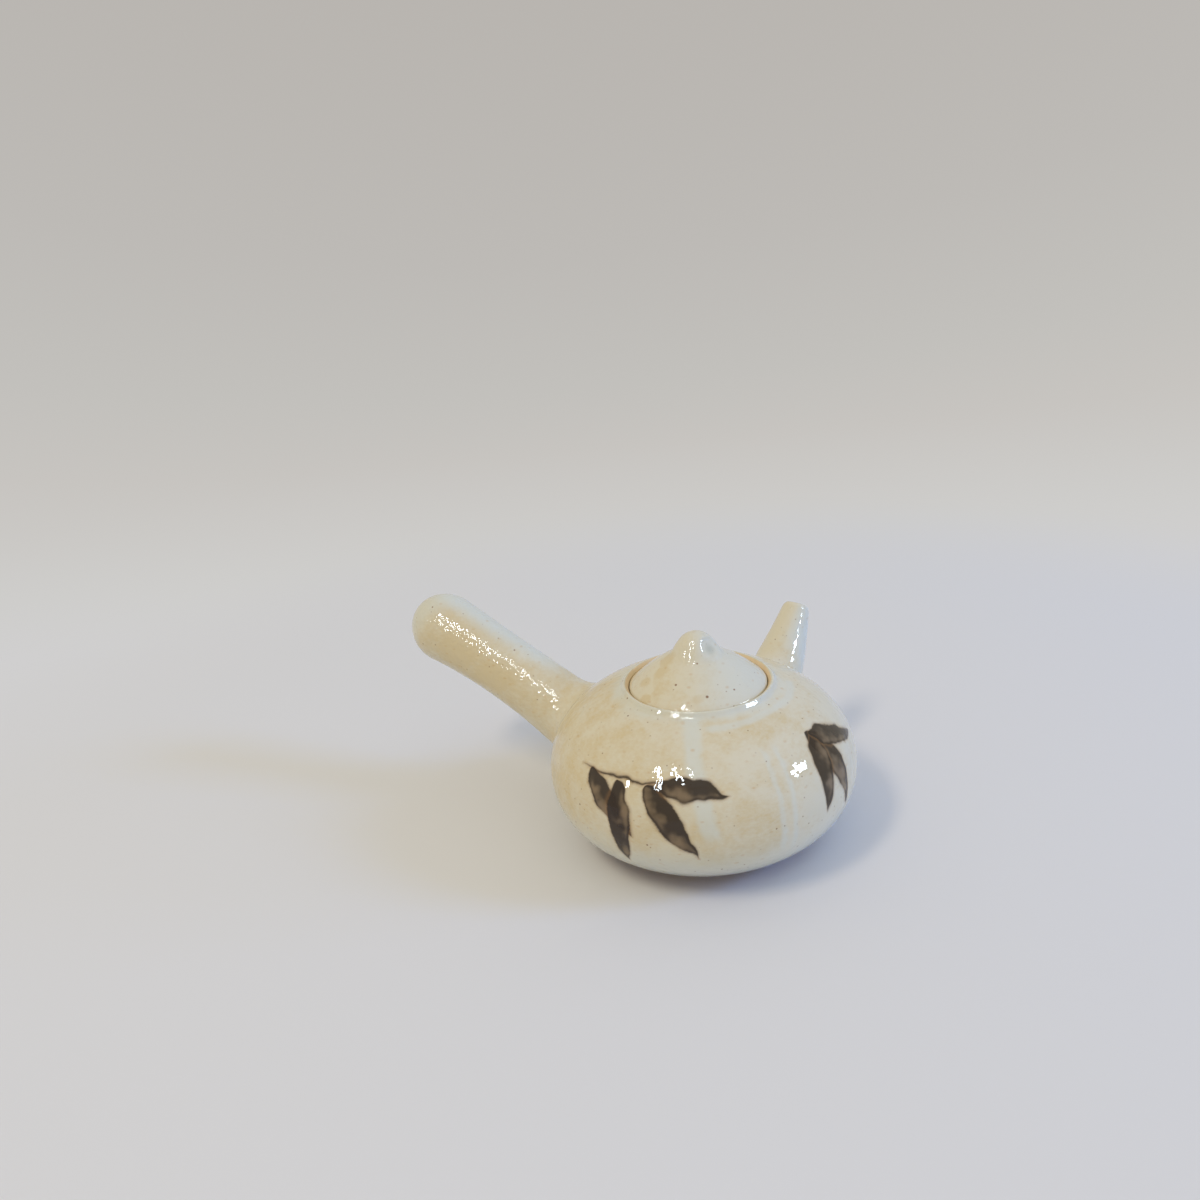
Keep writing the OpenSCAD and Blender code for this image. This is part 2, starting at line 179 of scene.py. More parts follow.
@dataclass(frozen=True)
class PotForm:
    """Outline of the thrown pot: two quarter curves that meet at the belly, in millimetres."""

    belly_r: float
    foot_z: float
    neck_z: float
    seat_r: float
    belly_z: float = 26.0
    base_r: float = 36.0
    shoulder_power: float = 2.19
    under_power: float = 2.13
    wall: float = 3.8
    floor_t: float = 4.6

    @classmethod
    def from_frame(cls) -> "PotForm":
        """Reads the pot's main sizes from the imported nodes."""
        low, high = box_mm("body")
        return cls(belly_r=high.x, foot_z=low.z, neck_z=high.z, seat_r=box_mm("lid_seat")[1].x)

    def power(self, upper: bool) -> float:
        """Gives the fullness of the curve above or below the belly."""
        return self.shoulder_power if upper else self.under_power

    def full_height(self, upper: bool) -> float:
        """Gives the height of the whole quarter curve, of which the pot uses a part.

        Args:
            upper: True for the curve above the belly.

        Returns:
            The height from the belly.
        """
        power = self.power(upper)
        end_r = self.seat_r if upper else self.base_r
        span = self.neck_z - self.belly_z if upper else self.belly_z - self.foot_z
        return span / (1 - (end_r / self.belly_r) ** power) ** (1 / power)

    def wall_point(self, lift: float, depth: float = 0.0) -> tuple[float, float]:
        """Finds a point of the wall.

        Args:
            lift: Angle from the belly in radians, above it when positive.
            depth: How far the line is moved in from the outer surface.

        Returns:
            The radius and the height of the point.
        """
        upper = lift >= 0
        share = 2 / self.power(upper)
        rise = (self.full_height(upper) - depth) * abs(math.sin(lift)) ** share
        radius = (self.belly_r - depth) * math.cos(lift) ** share
        return radius, self.belly_z + math.copysign(rise, lift)

    def line(self, start_z: float, depth: float, steps: int) -> Outline:
        """Draws the wall from a height below the belly up to the lid seat.

        Args:
            start_z: Height at which the line starts.
            depth: How far the line is moved in from the outer surface.
            steps: Steps below and above the belly.

        Returns:
            The points from the bottom to the seat.
        """
        drop = (self.belly_z - start_z) / (self.full_height(False) - depth)
        low = -math.asin(drop ** (self.under_power / 2))
        high = math.acos((self.seat_r / (self.belly_r - depth)) ** (self.shoulder_power / 2))
        below = [self.wall_point(low * (1 - i / steps), depth) for i in range(steps)]
        return below + [self.wall_point(high * i / steps, depth) for i in range(steps + 1)]

    def outness(self, p: Vector) -> float:
        """Tells how far out a point lies.

        Args:
            p: Point in millimetres.

        Returns:
            A number under 1 inside the outer surface and over 1 outside it.
        """
        upper = p.z > self.belly_z
        power = self.power(upper)
        rise = abs(p.z - self.belly_z) / self.full_height(upper)
        return (math.hypot(p.x, p.y) / self.belly_r) ** power + rise**power

    def normal(self, p: Vector) -> Vector:
        """Gives the direction out of the outer surface.

        Args:
            p: Point on or near the surface.

        Returns:
            The direction, of length 1.
        """
        upper = p.z > self.belly_z
        power, height = self.power(upper), self.full_height(upper)
        radius = math.hypot(p.x, p.y)
        level = (radius / self.belly_r) ** (power - 1) / self.belly_r / radius
        upright = (abs(p.z - self.belly_z) / height) ** (power - 1) / height
        return Vector((level * p.x, level * p.y, upright if upper else -upright)).normalized()

    def on_wall(self, p: Vector, reach: float = 6.0) -> Vector:
        """Moves a point along the wall's normal until it lies on the outer surface.

        Args:
            p: Point near the wall.
            reach: Furthest that it may move either way.

        Returns:
            The point on the wall.
        """
        n = self.normal(p)
        return p + crossing(lambda step: self.outness(p + step * n) < 1, -reach, reach) * n

    def lift_at(self, radius: float) -> float:
        """Gives the angle above the belly at which the outer wall has a radius."""
        return math.acos((radius / self.belly_r) ** (self.shoulder_power / 2))

    def at(self, azimuth: float, z: float) -> Vector:
        """Finds a point of the outer wall.

        Args:
            azimuth: Azimuth in degrees.
            z: Height.

        Returns:
            The point.
        """
        upper = z > self.belly_z
        power = self.power(upper)
        rise = abs(z - self.belly_z) / self.full_height(upper)
        radius = self.belly_r * (1 - rise**power) ** (1 / power)
        turn = math.radians(azimuth)
        return Vector((radius * math.cos(turn), radius * math.sin(turn), z))


@dataclass(frozen=True)
class HandDrift:
    """Slight unevenness of hand-made clay, one field for all pieces so that their joints keep together."""

    reach: float = 0.2
    span: float = 38.0
    tighten: float = 0.004
    seed: int = 5

    def settle(self) -> None:
        """Seeds the field, so that every run gives the same clay."""
        noise.seed_set(self.seed)

    def moved(self, p: Vector) -> Vector:
        """Shifts a point by the field, which dies out towards the table.

        Args:
            p: Point in millimetres.

        Returns:
            The shifted point, drawn in a little so that the piece stays inside its size.
        """
        settled = min(1.0, max(0.0, p.z / self.span))
        return p * (1 - self.tighten) + noise.noise_vector(p / self.span) * (self.reach * settled)


class Clay:
    """One bmesh, in millimetres, while it is thrown, lofted and joined into a piece."""

    weld_gap = 0.002
    sharp_angle = math.radians(48)

    def __init__(self) -> None:
        """Starts with nothing on the wheel."""
        self.mesh = bmesh.new()

    def throw(self, outline: Outline, steps: int) -> "Clay":
        """Spins an outline round the pot's axis into a closed skin.

        Args:
            outline: Points as (radius, height), which start and end on the axis or at one point.
            steps: Steps of the full turn.

        Returns:
            This clay, for chaining.
        """
        verts = [self.mesh.verts.new((r, 0.0, z)) for r, z in outline]
        edges = [self.mesh.edges.new(pair) for pair in zip(verts, verts[1:])]
        bmesh.ops.spin(
            self.mesh,
            geom=verts + edges,
            cent=(0.0, 0.0, 0.0),
            axis=(0.0, 0.0, 1.0),
            angle=math.tau,
            steps=steps,
            use_merge=True,
        )
        return self.weld()

    def loft(self, rings: Sequence[Ring], first_pole: Optional[Vector] = None,
             last_pole: Optional[Vector] = None) -> "Clay":
        """Skins a row of rings, each extruded from the one before it and then moved to its place.

        Args:
            rings: Rings of as many points each. The last repeats the first on a skin that closes on itself.
            first_pole: Point that the first ring is drawn together into, if any.
            last_pole: Point that the last ring is drawn together into, if any.

        Returns:
            This clay, for chaining.
        """
        made = bmesh.ops.create_circle(self.mesh, segments=len(rings[0]), radius=1.0)
        order = {vert: i for i, vert in enumerate(made["verts"])}
        edges = list(dict.fromkeys(edge for vert in order for edge in vert.link_edges))
        start = list(order)
        self._place(order, rings[0])
        for ring in rings[1:]:
            grown = bmesh.ops.extrude_edge_only(self.mesh, edges=edges)["geom"]
            fresh = [item for item in grown if isinstance(item, bmesh.types.BMVert)]
            order = {vert: self._index_below(vert, order) for vert in fresh}
            edges = [item for item in grown if isinstance(item, bmesh.types.BMEdge)
                     and item.verts[0] in order and item.verts[1] in order]
            self._place(order, ring)
        if first_pole is not None:
            bmesh.ops.pointmerge(self.mesh, verts=start, merge_co=first_pole)
        if last_pole is not None:
            bmesh.ops.pointmerge(self.mesh, verts=list(order), merge_co=last_pole)
        return self.weld()

    @staticmethod
    def _place(order: dict, ring: Ring) -> None:
        """Moves each vertex to its point of the ring."""
        for vert, i in order.items():
            vert.co = ring[i]

    @staticmethod
    def _index_below(vert: bmesh.types.BMVert, order: dict) -> int:
        """Finds the place on the ring of the vertex that this one was extruded from."""
        below = (edge.other_vert(vert) for edge in vert.link_edges)
        return next(order[other] for other in below if other in order)

    def weld(self) -> "Clay":
        """Merges doubles and turns every face outwards.

        Returns:
            This clay, for chaining.
        """
        bmesh.ops.remove_doubles(self.mesh, verts=self.mesh.verts[:], dist=self.weld_gap)
        bmesh.ops.recalc_face_normals(self.mesh, faces=self.mesh.faces[:])
        return self

    def turn(self, degrees: float) -> "Clay":
        """Turns the clay about the pot's axis.

        Args:
            degrees: Angle of the turn.

        Returns:
            This clay, for chaining.
        """
        turned = Matrix.Rotation(math.radians(degrees), 3, "Z")
        bmesh.ops.rotate(self.mesh, verts=self.mesh.verts[:], matrix=turned)
        return self

    def push(self, shift: Callable[[Vector], Vector]) -> "Clay":
        """Moves every vertex to where a rule puts it.

        Args:
            shift: Rule from a point to its new place.

        Returns:
            This clay, for chaining.
        """
        for vert in self.mesh.verts:
            vert.co = shift(vert.co)
        return self

    def fire(self, name: str, drift: Optional[HandDrift] = None) -> Piece:
        """Makes the finished object in metres.

        Args:
            name: Name of the piece.
            drift: Unevenness that it gets, if any.

        Returns:
            The object, at the origin and linked to the scene.
        """
        if drift is not None:
            self.push(drift.moved)
        bmesh.ops.scale(self.mesh, verts=self.mesh.verts[:], vec=(MM, MM, MM))
        mesh = bpy.data.meshes.new(name)
        self.mesh.to_mesh(mesh)
        self.mesh.free()
        smooth_skin(mesh)
        piece = bpy.data.objects.new(name, mesh)
        bpy.context.scene.collection.objects.link(piece)
        return piece


def smooth_skin(mesh: bpy.types.Mesh) -> None:
    """Shades a mesh smooth, and keeps its real corners sharp.

    Args:
        mesh: Mesh to shade.
    """
    work = bmesh.new()
    work.from_mesh(mesh)
    for face in work.faces:
        face.smooth = True
    for edge in work.edges:
        edge.smooth = edge.calc_face_angle(0.0) < Clay.sharp_angle
    work.to_mesh(mesh)
    work.free()


def drill(piece: Piece, cutter: Piece) -> None:
    """Cuts a hole into a piece and clears the cutter away.

    Args:
        piece: Piece to cut.
        cutter: Closed object of the hole's shape.
    """
    cut = piece.modifiers.new("hole", "BOOLEAN")
    cut.operation = "DIFFERENCE"
    cut.solver = "EXACT"
    cut.object = cutter
    scene_now = bpy.context.evaluated_depsgraph_get()
    mesh = bpy.data.meshes.new_from_object(piece.evaluated_get(scene_now))
    piece.modifiers.clear()
    whole = piece.data
    piece.data = mesh
    bpy.data.meshes.remove(whole)
    bpy.data.objects.remove(cutter)
    mesh.name = piece.name
    smooth_skin(mesh)


def flared_hole(radius: float, length: float, flare: float, way: Matrix) -> Piece:
    """Makes a cutter for a round hole whose rims are softened by the glaze.

    Args:
        radius: Radius of the hole.
        length: Distance between its two rims.
        flare: Radius of the rounded rims.
        way: Place of the hole's middle, with the hole along Z.

    Returns:
        The cutter, in metres.
    """
    half, steps, over = length / 2, 6, 2.0
    top = [(radius + flare - x, half - flare + y) for x, y in arc((0, 0), flare, 0, 90, steps)]
    upper = top + [(radius + flare, half + over), (0.0, half + over)]
    lower = [(r, -z) for r, z in reversed(upper)]
    clay = Clay().throw(lower + upper, 32)
    bmesh.ops.transform(clay.mesh, verts=clay.mesh.verts[:], matrix=way)
    return clay.fire("hole_cutter")


class Tube(ABC):
    """A tube whose axis is drawn in the plane of X and Z, from a root inside the wall to its far end."""

    sides = 96
    wall_within = 0.8

    @abstractmethod
    def axis(self, t: float) -> Vector:
        """Gives the axis point at the fraction t."""

    @abstractmethod
    def slope(self, t: float) -> float:
        """Gives the climb of the axis at the fraction t, in radians."""

    @abstractmethod
    def radius(self, t: float) -> float:
        """Gives the outer radius at the fraction t."""

    @property
    @abstractmethod
    def length(self) -> float:
        """Gives the length of the axis."""

    def angles(self) -> list[float]:
        """Gives the angles of the side lines round the tube."""
        return [math.tau * i / self.sides for i in range(self.sides)]

    def side(self, t: float, a: float) -> Vector:
        """Gives the direction out of the tube at the angle a round it."""
        s = self.slope(t)
        return Vector((-math.sin(a) * math.sin(s), math.cos(a), math.sin(a) * math.cos(s)))

    def point(self, t: float, a: float, inset: float = 0.0) -> Vector:
        """Gives the point on a side line, moved in by the inset."""
        return self.axis(t) + (self.radius(t) - inset) * self.side(t, a)

    def leaves_wall(self, form: PotForm, a: float, inset: float = 0.0) -> float:
        """Finds where a side line leaves the pot.

        Args:
            form: The pot's outline.
            a: Angle of the side line round the tube.
            inset: How far the line lies inside the tube's surface.

        Returns:
            The fraction of the axis at which the line crosses the outer wall.
        """
        return crossing(lambda t: form.outness(self.point(t, a, inset)) < 1, 0.0, self.wall_within)

    def roots(self, form: PotForm, inset: float, bury: float) -> list[float]:
        """Gives the fraction at which each side line starts, buried in the wall by a length."""
        return [self.leaves_wall(form, a, inset) - bury / self.length for a in self.angles()]

    def skin(self, roots: Sequence[float], last: float, count: int,
             inset: Callable[[float], float]) -> list[Ring]:
        """Draws rings from a root on each side line to one fraction of the axis.

        Args:
            roots: Fraction at which each side line starts.
            last: Fraction at which they all end.
            count: Steps along the tube.
            inset: Depth of the skin below the outer surface at a fraction.

        Returns:
            The rings, from the root on.
        """
        angles = self.angles()
        rings = []
        for i in range(count + 1):
            at = [root + (last - root) * i / count for root in roots]
            rings.append([self.point(t, a, inset(t)) for t, a in zip(at, angles)])
        return rings


@dataclass(frozen=True)
class SpoutTube(Tube):
    """The tapering spout, in millimetres."""

    form: PotForm
    lip_z: float
    reach: float = 18.3
    tip_up: float = 1.7
    tip_slope: float = math.radians(55.8)
    run: float = 28.0
    root_up: float = 1.0
    root_in: float = 12.5
    tip_d: float = 9.4
    middle_d: float = 19.0
    root_d: float = 25.0
    tip_wall: float = 2.2
    root_wall: float = 3.0
    hole_d: float = 16.0

    @property
    def root(self) -> Vector:
        """Gives the start of the axis, behind the belly."""
        return Vector((self.form.belly_r - self.root_in, 0.0, self.form.belly_z + self.root_up))

    @property
    def tip(self) -> Vector:
        """Gives the end of the axis, in the middle of the mouth."""
        return Vector((self.form.belly_r + self.reach, 0.0, self.lip_z + self.tip_up))

    @property
    def bend(self) -> Vector:
        """Gives the control point at which the axis turns upwards."""
        return self.tip - self.run * Vector((math.cos(self.tip_slope), 0.0, math.sin(self.tip_slope)))

    @property
    def length(self) -> float:
        """Gives the length of the axis, along its controls."""
        return (self.bend - self.root).length + self.run

    def axis(self, t: float) -> Vector:
        """Gives the axis point at the fraction t."""
        return bezier((self.root, self.bend, self.tip), t)

    def slope(self, t: float) -> float:
        """Gives the climb of the axis at the fraction t, in radians."""
        way = (self.bend - self.root).lerp(self.tip - self.bend, t)
        return math.atan2(way.z, way.x)

    def radius(self, t: float) -> float:
        """Gives the outer radius at the fraction t."""
        return swell(self.root_d, self.middle_d, self.tip_d, t) / 2

    def wall(self, t: float) -> float:
        """Gives the wall's thickness at the fraction t."""
        return self.root_wall + (self.tip_wall - self.root_wall) * t


@dataclass(frozen=True)
class HandleTube(Tube):
    """The hollow side handle, in millimetres, drawn along +X before it is turned to its place."""

    form: PotForm
    turn: float = 96.0
    tilt: float = math.radians(26.7)
    up: float = 4.4
    reach: float = 76.0
    root_in: float = 15.0
    root_d: float = 28.8
    middle_d: float = 23.6
    end_d: float = 26.2
    dome: float = 14.3
    arch: float = 3.0
    wall: float = 3.2

    @property
    def buried(self) -> float:
        """Gives the length of the axis inside the belly."""
        return self.root_in / math.cos(self.tilt)

    @property
    def length(self) -> float:
        """Gives the length of the axis."""
        return self.buried + self.reach

    @property
    def dome_start(self) -> float:
        """Gives the fraction at which the rounded end begins."""
        return 1 - self.dome / self.length

    def axis(self, t: float) -> Vector:
        """Gives a point of the axis, which is straight but for a slight arch.

        Args:
            t: Fraction of the axis.

        Returns:
            The point.
        """
        along = Vector((math.cos(self.tilt), 0.0, math.sin(self.tilt)))
        across = Vector((-math.sin(self.tilt), 0.0, math.cos(self.tilt)))
        start = Vector((self.form.belly_r, 0.0, self.form.belly_z + self.up))
        return start + (t * self.length - self.buried) * along + 4 * t * (1 - t) * self.arch * across

    def slope(self, t: float) -> float:
        """Gives the climb of the axis at the fraction t, in radians."""
        return self.tilt + math.atan(4 * (1 - 2 * t) * self.arch / self.length)

    def radius(self, t: float) -> float:
        """Gives the outer radius, which swells and then closes in a dome.

        Args:
            t: Fraction of the axis.

        Returns:
            The radius.
        """
        start = self.dome_start
        if t <= start:
            return swell(self.root_d, self.middle_d, self.end_d, t / start) / 2
        return self.end_d / 2 * math.sqrt(max(0.0, 1 - ((t - start) / (1 - start)) ** 2))


def operation(kind: str, reflected: bool = False) -> Callable[["Value", "Number"], "Value"]:
    """Makes an operator of values, which adds a Math node.

    Args:
        kind: Blender's name of the operation.
        reflected: True where the value stands to the right of the operator.

    Returns:
        The operator.
    """

    def apply(value: "Value", other: "Number") -> "Value":
        """Adds the node."""
        return value.graph.math(kind, other, value) if reflected else value.graph.math(kind, value, other)

    return apply


class Value:
    """A number that varies over a surface. Sums and products of it add Math nodes."""

    __add__ = operation("ADD")
    __radd__ = operation("ADD", True)
    __sub__ = operation("SUBTRACT")
    __rsub__ = operation("SUBTRACT", True)
    __mul__ = operation("MULTIPLY")
    __rmul__ = operation("MULTIPLY", True)
    __truediv__ = operation("DIVIDE")
    __pow__ = operation("POWER")

    def __init__(self, graph: "Graph", socket: Socket) -> None:
        """Wraps a socket of a node graph."""
        self.graph = graph
        self.socket = socket

    def __abs__(self) -> "Value":
        """Drops the sign."""
        return self.graph.math("ABSOLUTE", self)

    def clamped(self) -> "Value":
        """Limits the number to 0 to 1."""
        return self.graph.math("ADD", self, 0.0, use_clamp=True)

    def ramp(self, low: float, high: float) -> "Value":
        """Rises smoothly from 0 to 1, or falls if low is the larger.

        Args:
            low: Number at which it is 0.
            high: Number at which it is 1.

        Returns:
            The new number.
        """
        made = self.graph.node(
            "ShaderNodeMapRange",
            {"interpolation_type": "SMOOTHSTEP"},
            {"Value": self, "From Min": low, "From Max": high},
        )
        return Value(self.graph, made.outputs["Result"])


Number = Union[Value, float]


class Graph:
    """The node graph of one material or of the world."""

    def __init__(self, tree: bpy.types.NodeTree) -> None:
        """Starts from an empty graph."""
        self.tree = tree
        tree.nodes.clear()

    def node(self, kind: str, settings: Optional[dict[str, Any]] = None,
             sockets: Optional[dict[Union[str, int], Any]] = None) -> bpy.types.Node:
        """Adds a node.

        Args:
            kind: Blender's name of the node type.
            settings: Properties of the node, set first. Stops are those of a colour ramp.
            sockets: Values or links of its inputs, by name or by number.

        Returns:
            The node.
        """
        made = self.tree.nodes.new(kind)
        for name, value in (settings or {}).items():
            if name == "stops":
                self._set_stops(made.color_ramp, value)
            else:
                setattr(made, name, value)
        for key, value in (sockets or {}).items():
            if isinstance(value, Value):
                value = value.socket
            if isinstance(value, Socket):
                self.tree.links.new(value, made.inputs[key])
            else:
                made.inputs[key].default_value = value
        return made

    @staticmethod
    def _set_stops(ramp: bpy.types.ColorRamp, stops: Sequence[tuple[float, Colour]]) -> None:
        """Gives a colour ramp its stops.

        Args:
            ramp: The colour ramp.
            stops: Place and colour of each stop.
        """
        while len(ramp.elements) < len(stops):
            ramp.elements.new(1.0)
        for element, (place, colour) in zip(ramp.elements, stops):
            element.position = place
            element.color = colour

    def math(self, kind: str, *terms: Number, use_clamp: bool = False) -> Value:
        """Adds a Math node.

        Args:
            kind: Blender's name of the operation.
            terms: Up to three numbers that it takes.
            use_clamp: True to limit the result to 0 to 1.

        Returns:
            The result.
        """
        settings = {"operation": kind, "use_clamp": use_clamp}
        made = self.node("ShaderNodeMath", settings, dict(enumerate(terms)))
        return Value(self, made.outputs["Value"])

    def blend(self, share: Number, first: Any, second: Any) -> Socket:
        """Mixes two colours by a share from 0 to 1."""
        settings = {"data_type": "RGBA", "clamp_factor": True}
        return self.node("ShaderNodeMix", settings, {0: share, 6: first, 7: second}).outputs[2]

    def place_mm(self) -> Socket:
        """Gives the place on the piece.

        Returns:
            The place in millimetres.
        """
        spot = self.node("ShaderNodeTexCoord").outputs["Object"]
        made = self.node("ShaderNodeVectorMath", {"operation": "SCALE"}, {0: spot, "Scale": 1 / MM})
        return made.outputs["Vector"]

    def vector(self, kind: str, place: Socket, other: Sequence[float], output: str) -> Socket:
        """Adds a Vector Math node and gives one of its outputs."""
        made = self.node("ShaderNodeVectorMath", {"operation": kind}, {0: place, 1: tuple(other)})
        return made.outputs[output]

    def along(self, place: Socket, way: Vector, start: Vector) -> Value:
        """Measures how far a place lies along a direction from a starting point."""
        return Value(self, self.vector("DOT_PRODUCT", place, way, "Value")) - way.dot(start)

    def squeezed(self, place: Socket, by: float) -> Socket:
        """Squeezes the heights of a place, so that a pattern on it lies in flat smears."""
        return self.vector("MULTIPLY", place, (1.0, 1.0, by), "Vector")

    def gap(self, place: Socket, spot: Sequence[float]) -> Value:
        """Measures the distance of a place from a spot."""
        return Value(self, self.vector("DISTANCE", place, spot, "Value"))

    def axes(self, place: Socket) -> tuple[Value, Value, Value]:
        """Splits a place into its three numbers."""
        made = self.node("ShaderNodeSeparateXYZ", None, {0: place})
        return Value(self, made.outputs[0]), Value(self, made.outputs[1]), Value(self, made.outputs[2])

    def cloud(self, place: Socket, size: float, detail: float = 2.0, rough: float = 0.5) -> Value:
        """Adds a noise.

        Args:
            place: Place in millimetres.
            size: Size of its features in millimetres.
            detail: Number of finer layers.
            rough: Strength of the finer layers.

        Returns:
            The noise, from 0 to 1 and about 0.5 in the middle.
        """
        sockets = {"Vector": place, "Scale": 1 / size, "Detail": detail, "Roughness": rough}
        return Value(self, self.node("ShaderNodeTexNoise", {"noise_dimensions": "3D"}, sockets).outputs[0])

    def cells(self, place: Socket, size: float) -> tuple[Value, Value]:
        """Adds scattered points.

        Args:
            place: Place in millimetres.
            size: Usual distance between the points in millimetres.

        Returns:
            The distance to the nearest point in millimetres, and a random number of that point.
        """
        sockets = {"Vector": place, "Scale": 1 / size}
        made = self.node("ShaderNodeTexVoronoi", {"feature": "F1"}, sockets)
        split = self.node("ShaderNodeSeparateColor", None, {0: made.outputs["Color"]})
        return Value(self, made.outputs["Distance"]) * size, Value(self, split.outputs[0])

    def bump(self, height: Value, depth: float) -> Socket:
        """Turns a height from 0 to 1 into a bumpy normal of a depth in millimetres."""
        made = self.node("ShaderNodeBump", None, {"Strength": 1.0, "Distance": depth * MM, "Height": height})
        return made.outputs["Normal"]

    def surface(self, shader: Socket, output: str = "ShaderNodeOutputMaterial") -> None:
        """Connects the finished shader to the graph's output."""
        self.node(output, None, {"Surface": shader})

    def coat(self, sockets: dict[str, Any]) -> None:
        """Ends the graph in one principled shader with these sockets."""
        self.surface(self.node("ShaderNodeBsdfPrincipled", None, sockets).outputs[0])


def new_material(name: str) -> tuple[Material, Graph]:
    """Makes a material with an empty graph.

    Args:
        name: Name of the material.

    Returns:
        The material and its graph.
    """
    material = bpy.data.materials.new(name)
    material.use_nodes = True
    return material, Graph(material.node_tree)


@dataclass(frozen=True)
class Ground:
    """What a glaze knows of each place on a piece: where it lies, in millimetres, and the noises there."""

    graph: Graph
    place: Socket
    z: Value
    radius: Value
    azimuth: Value
    broad: Value
    middle: Value
    fine: Value
    broad_size = 26.0
    middle_size = 7.0
    fine_size = 1.6

    @classmethod
    def of(cls, graph: Graph, smear: float) -> "Ground":
        """Measures the places of a piece.

        Args:
            graph: Graph to add to.
            smear: How much flatter than wide the fine noise lies.

        Returns:
            The ground.
        """
        place = graph.place_mm()
        x, y, z = graph.axes(place)
        azimuth = graph.math("WRAP", graph.math("ARCTAN2", y, x), math.tau, 0.0)
        broad = graph.cloud(place, cls.broad_size, 3.0, 0.55)
        middle = graph.cloud(place, cls.middle_size, 4.0, 0.6)
        fine = graph.cloud(graph.squeezed(place, smear), cls.fine_size, 3.0, 0.6)
        return cls(graph, place, z, (x * x + y * y) ** 0.5, azimuth, broad, middle, fine)


@dataclass(frozen=True)
class BrushInk:
    """Iron pigment under the glaze: black-brown where it is thick, a grey wash where it is thin."""

    dark: Colour = screen(40, 26, 10)
    wash: Colour = screen(124, 105, 80)
    rust: Colour = screen(150, 108, 62)


@dataclass(frozen=True)
class BrushLeaf:
    """One leaf stroke of a loaded brush, in millimetres on the plane of its spray."""

    start: tuple[float, float]
    heading: float
    length: float
    width: float
    bend: float = 0.0
    cover: float = 0.95
    loaded_side: float = 1.0
    base_power: float = 0.55
    tip_power: float = 0.85
    fullness: float = 1.22
    edge_sunk: float = 0.25

    def paint(self, graph: Graph, colour: Socket, across: Value, up: Value, cloudy: Value,
              ink: BrushInk, near: Value) -> Socket:
        """Lays the stroke over a colour.

        Args:
            graph: Graph to add to.
            colour: Colour below the stroke.
            across: Place across the spray.
            up: Place up the spray.
            cloudy: Noise that makes the pigment uneven.
            ink: Colours of the pigment.
            near: 1 on the painted side of the pot and 0 on its far side.

        Returns:
            The colour with the stroke.
        """
        turn = math.radians(self.heading)
        from_start, rise = across - self.start[0], up - self.start[1]
        run = (from_start * math.cos(turn) + rise * math.sin(turn)) / self.length
        within = run.clamped()
        off = rise * math.cos(turn) - from_start * math.sin(turn) - within * within * self.bend
        belly = (within**self.base_power) * ((1.0 - within) ** self.tip_power) * (self.width * self.fullness)
        edge = belly - abs(off) - abs(run - within) * self.length - self.edge_sunk
        pool = edge.ramp(1.7, 0.0) * 0.25
        load = off * (0.5 * self.loaded_side / self.width)
        tone = (cloudy + load + pool - within * 0.1).ramp(0.22, 0.54)
        halo = graph.blend(edge.ramp(-1.0, 0.3) * near * 0.4, colour, ink.rust)
        stroke = graph.blend(tone, ink.wash, ink.dark)
        return graph.blend(edge.ramp(-0.2, 0.55) * near * self.cover, halo, stroke)


@dataclass(frozen=True)
class LeafSpray:
    """A few leaf strokes painted round one spot of the wall."""

    azimuth: float
    height: float
    leaves: tuple[BrushLeaf, ...]
    depth: float = 22.0
    ink: BrushInk = BrushInk()

    def paint(self, ground: Ground, colour: Socket, form: PotForm) -> Socket:
        """Paints the spray over a colour.

        Args:
            ground: Places and noises of the piece.
            colour: Colour below the spray.
            form: The pot's outline.

        Returns:
            The colour with the spray.
        """
        graph, place = ground.graph, ground.place
        spot = form.at(self.azimuth, self.height)
        out = form.normal(spot)
        right = Vector((0.0, 0.0, 1.0)).cross(out).normalized()
        waver = (ground.fine - 0.5) * 0.5
        across = graph.along(place, right, spot) + (graph.cloud(place, 7.0, 1.0) - 0.5) * 3.4 + waver
        up = graph.along(place, out.cross(right), spot) + (graph.cloud(place, 6.0, 1.0) - 0.5) * 3.0 + waver
        near = graph.along(place, out, spot).ramp(-self.depth, 3.0 - self.depth)
        cloudy = graph.cloud(place, 6.5, 2.0, 0.5)
        for leaf in self.leaves:
            colour = leaf.paint(graph, colour, across, up, cloudy, self.ink, near)
        return colour


@dataclass(frozen=True)
class GlazeRun:
    """A run of thick pale glaze down the wall: it wanders with the height, in degrees and millimetres."""

    azimuth: float
    top: float
    bottom: float
    width: float
    lean: float = 0.0
    strength: float = 0.8
    soft: float = 0.7

    def mask(self, ground: Ground) -> Value:
        """Draws the run.

        Args:
            ground: Places and noises of the piece.

        Returns:
            How thick the run is, from 0 to its strength.
        """
        z, half = ground.z, self.width / 2
        fall = (self.top - z) / (self.top - self.bottom)
        turn = ground.azimuth - math.radians(self.azimuth) - fall * math.radians(self.lean)
        off = turn * ground.radius + (ground.middle - 0.5) * 3.0
        body = abs(off).ramp(half + self.soft, half - self.soft)
        ends = z.ramp(self.bottom - 3.0, self.bottom + 3.0) * z.ramp(self.top + 1.0, self.top - 1.5)
        return body * ends * self.strength


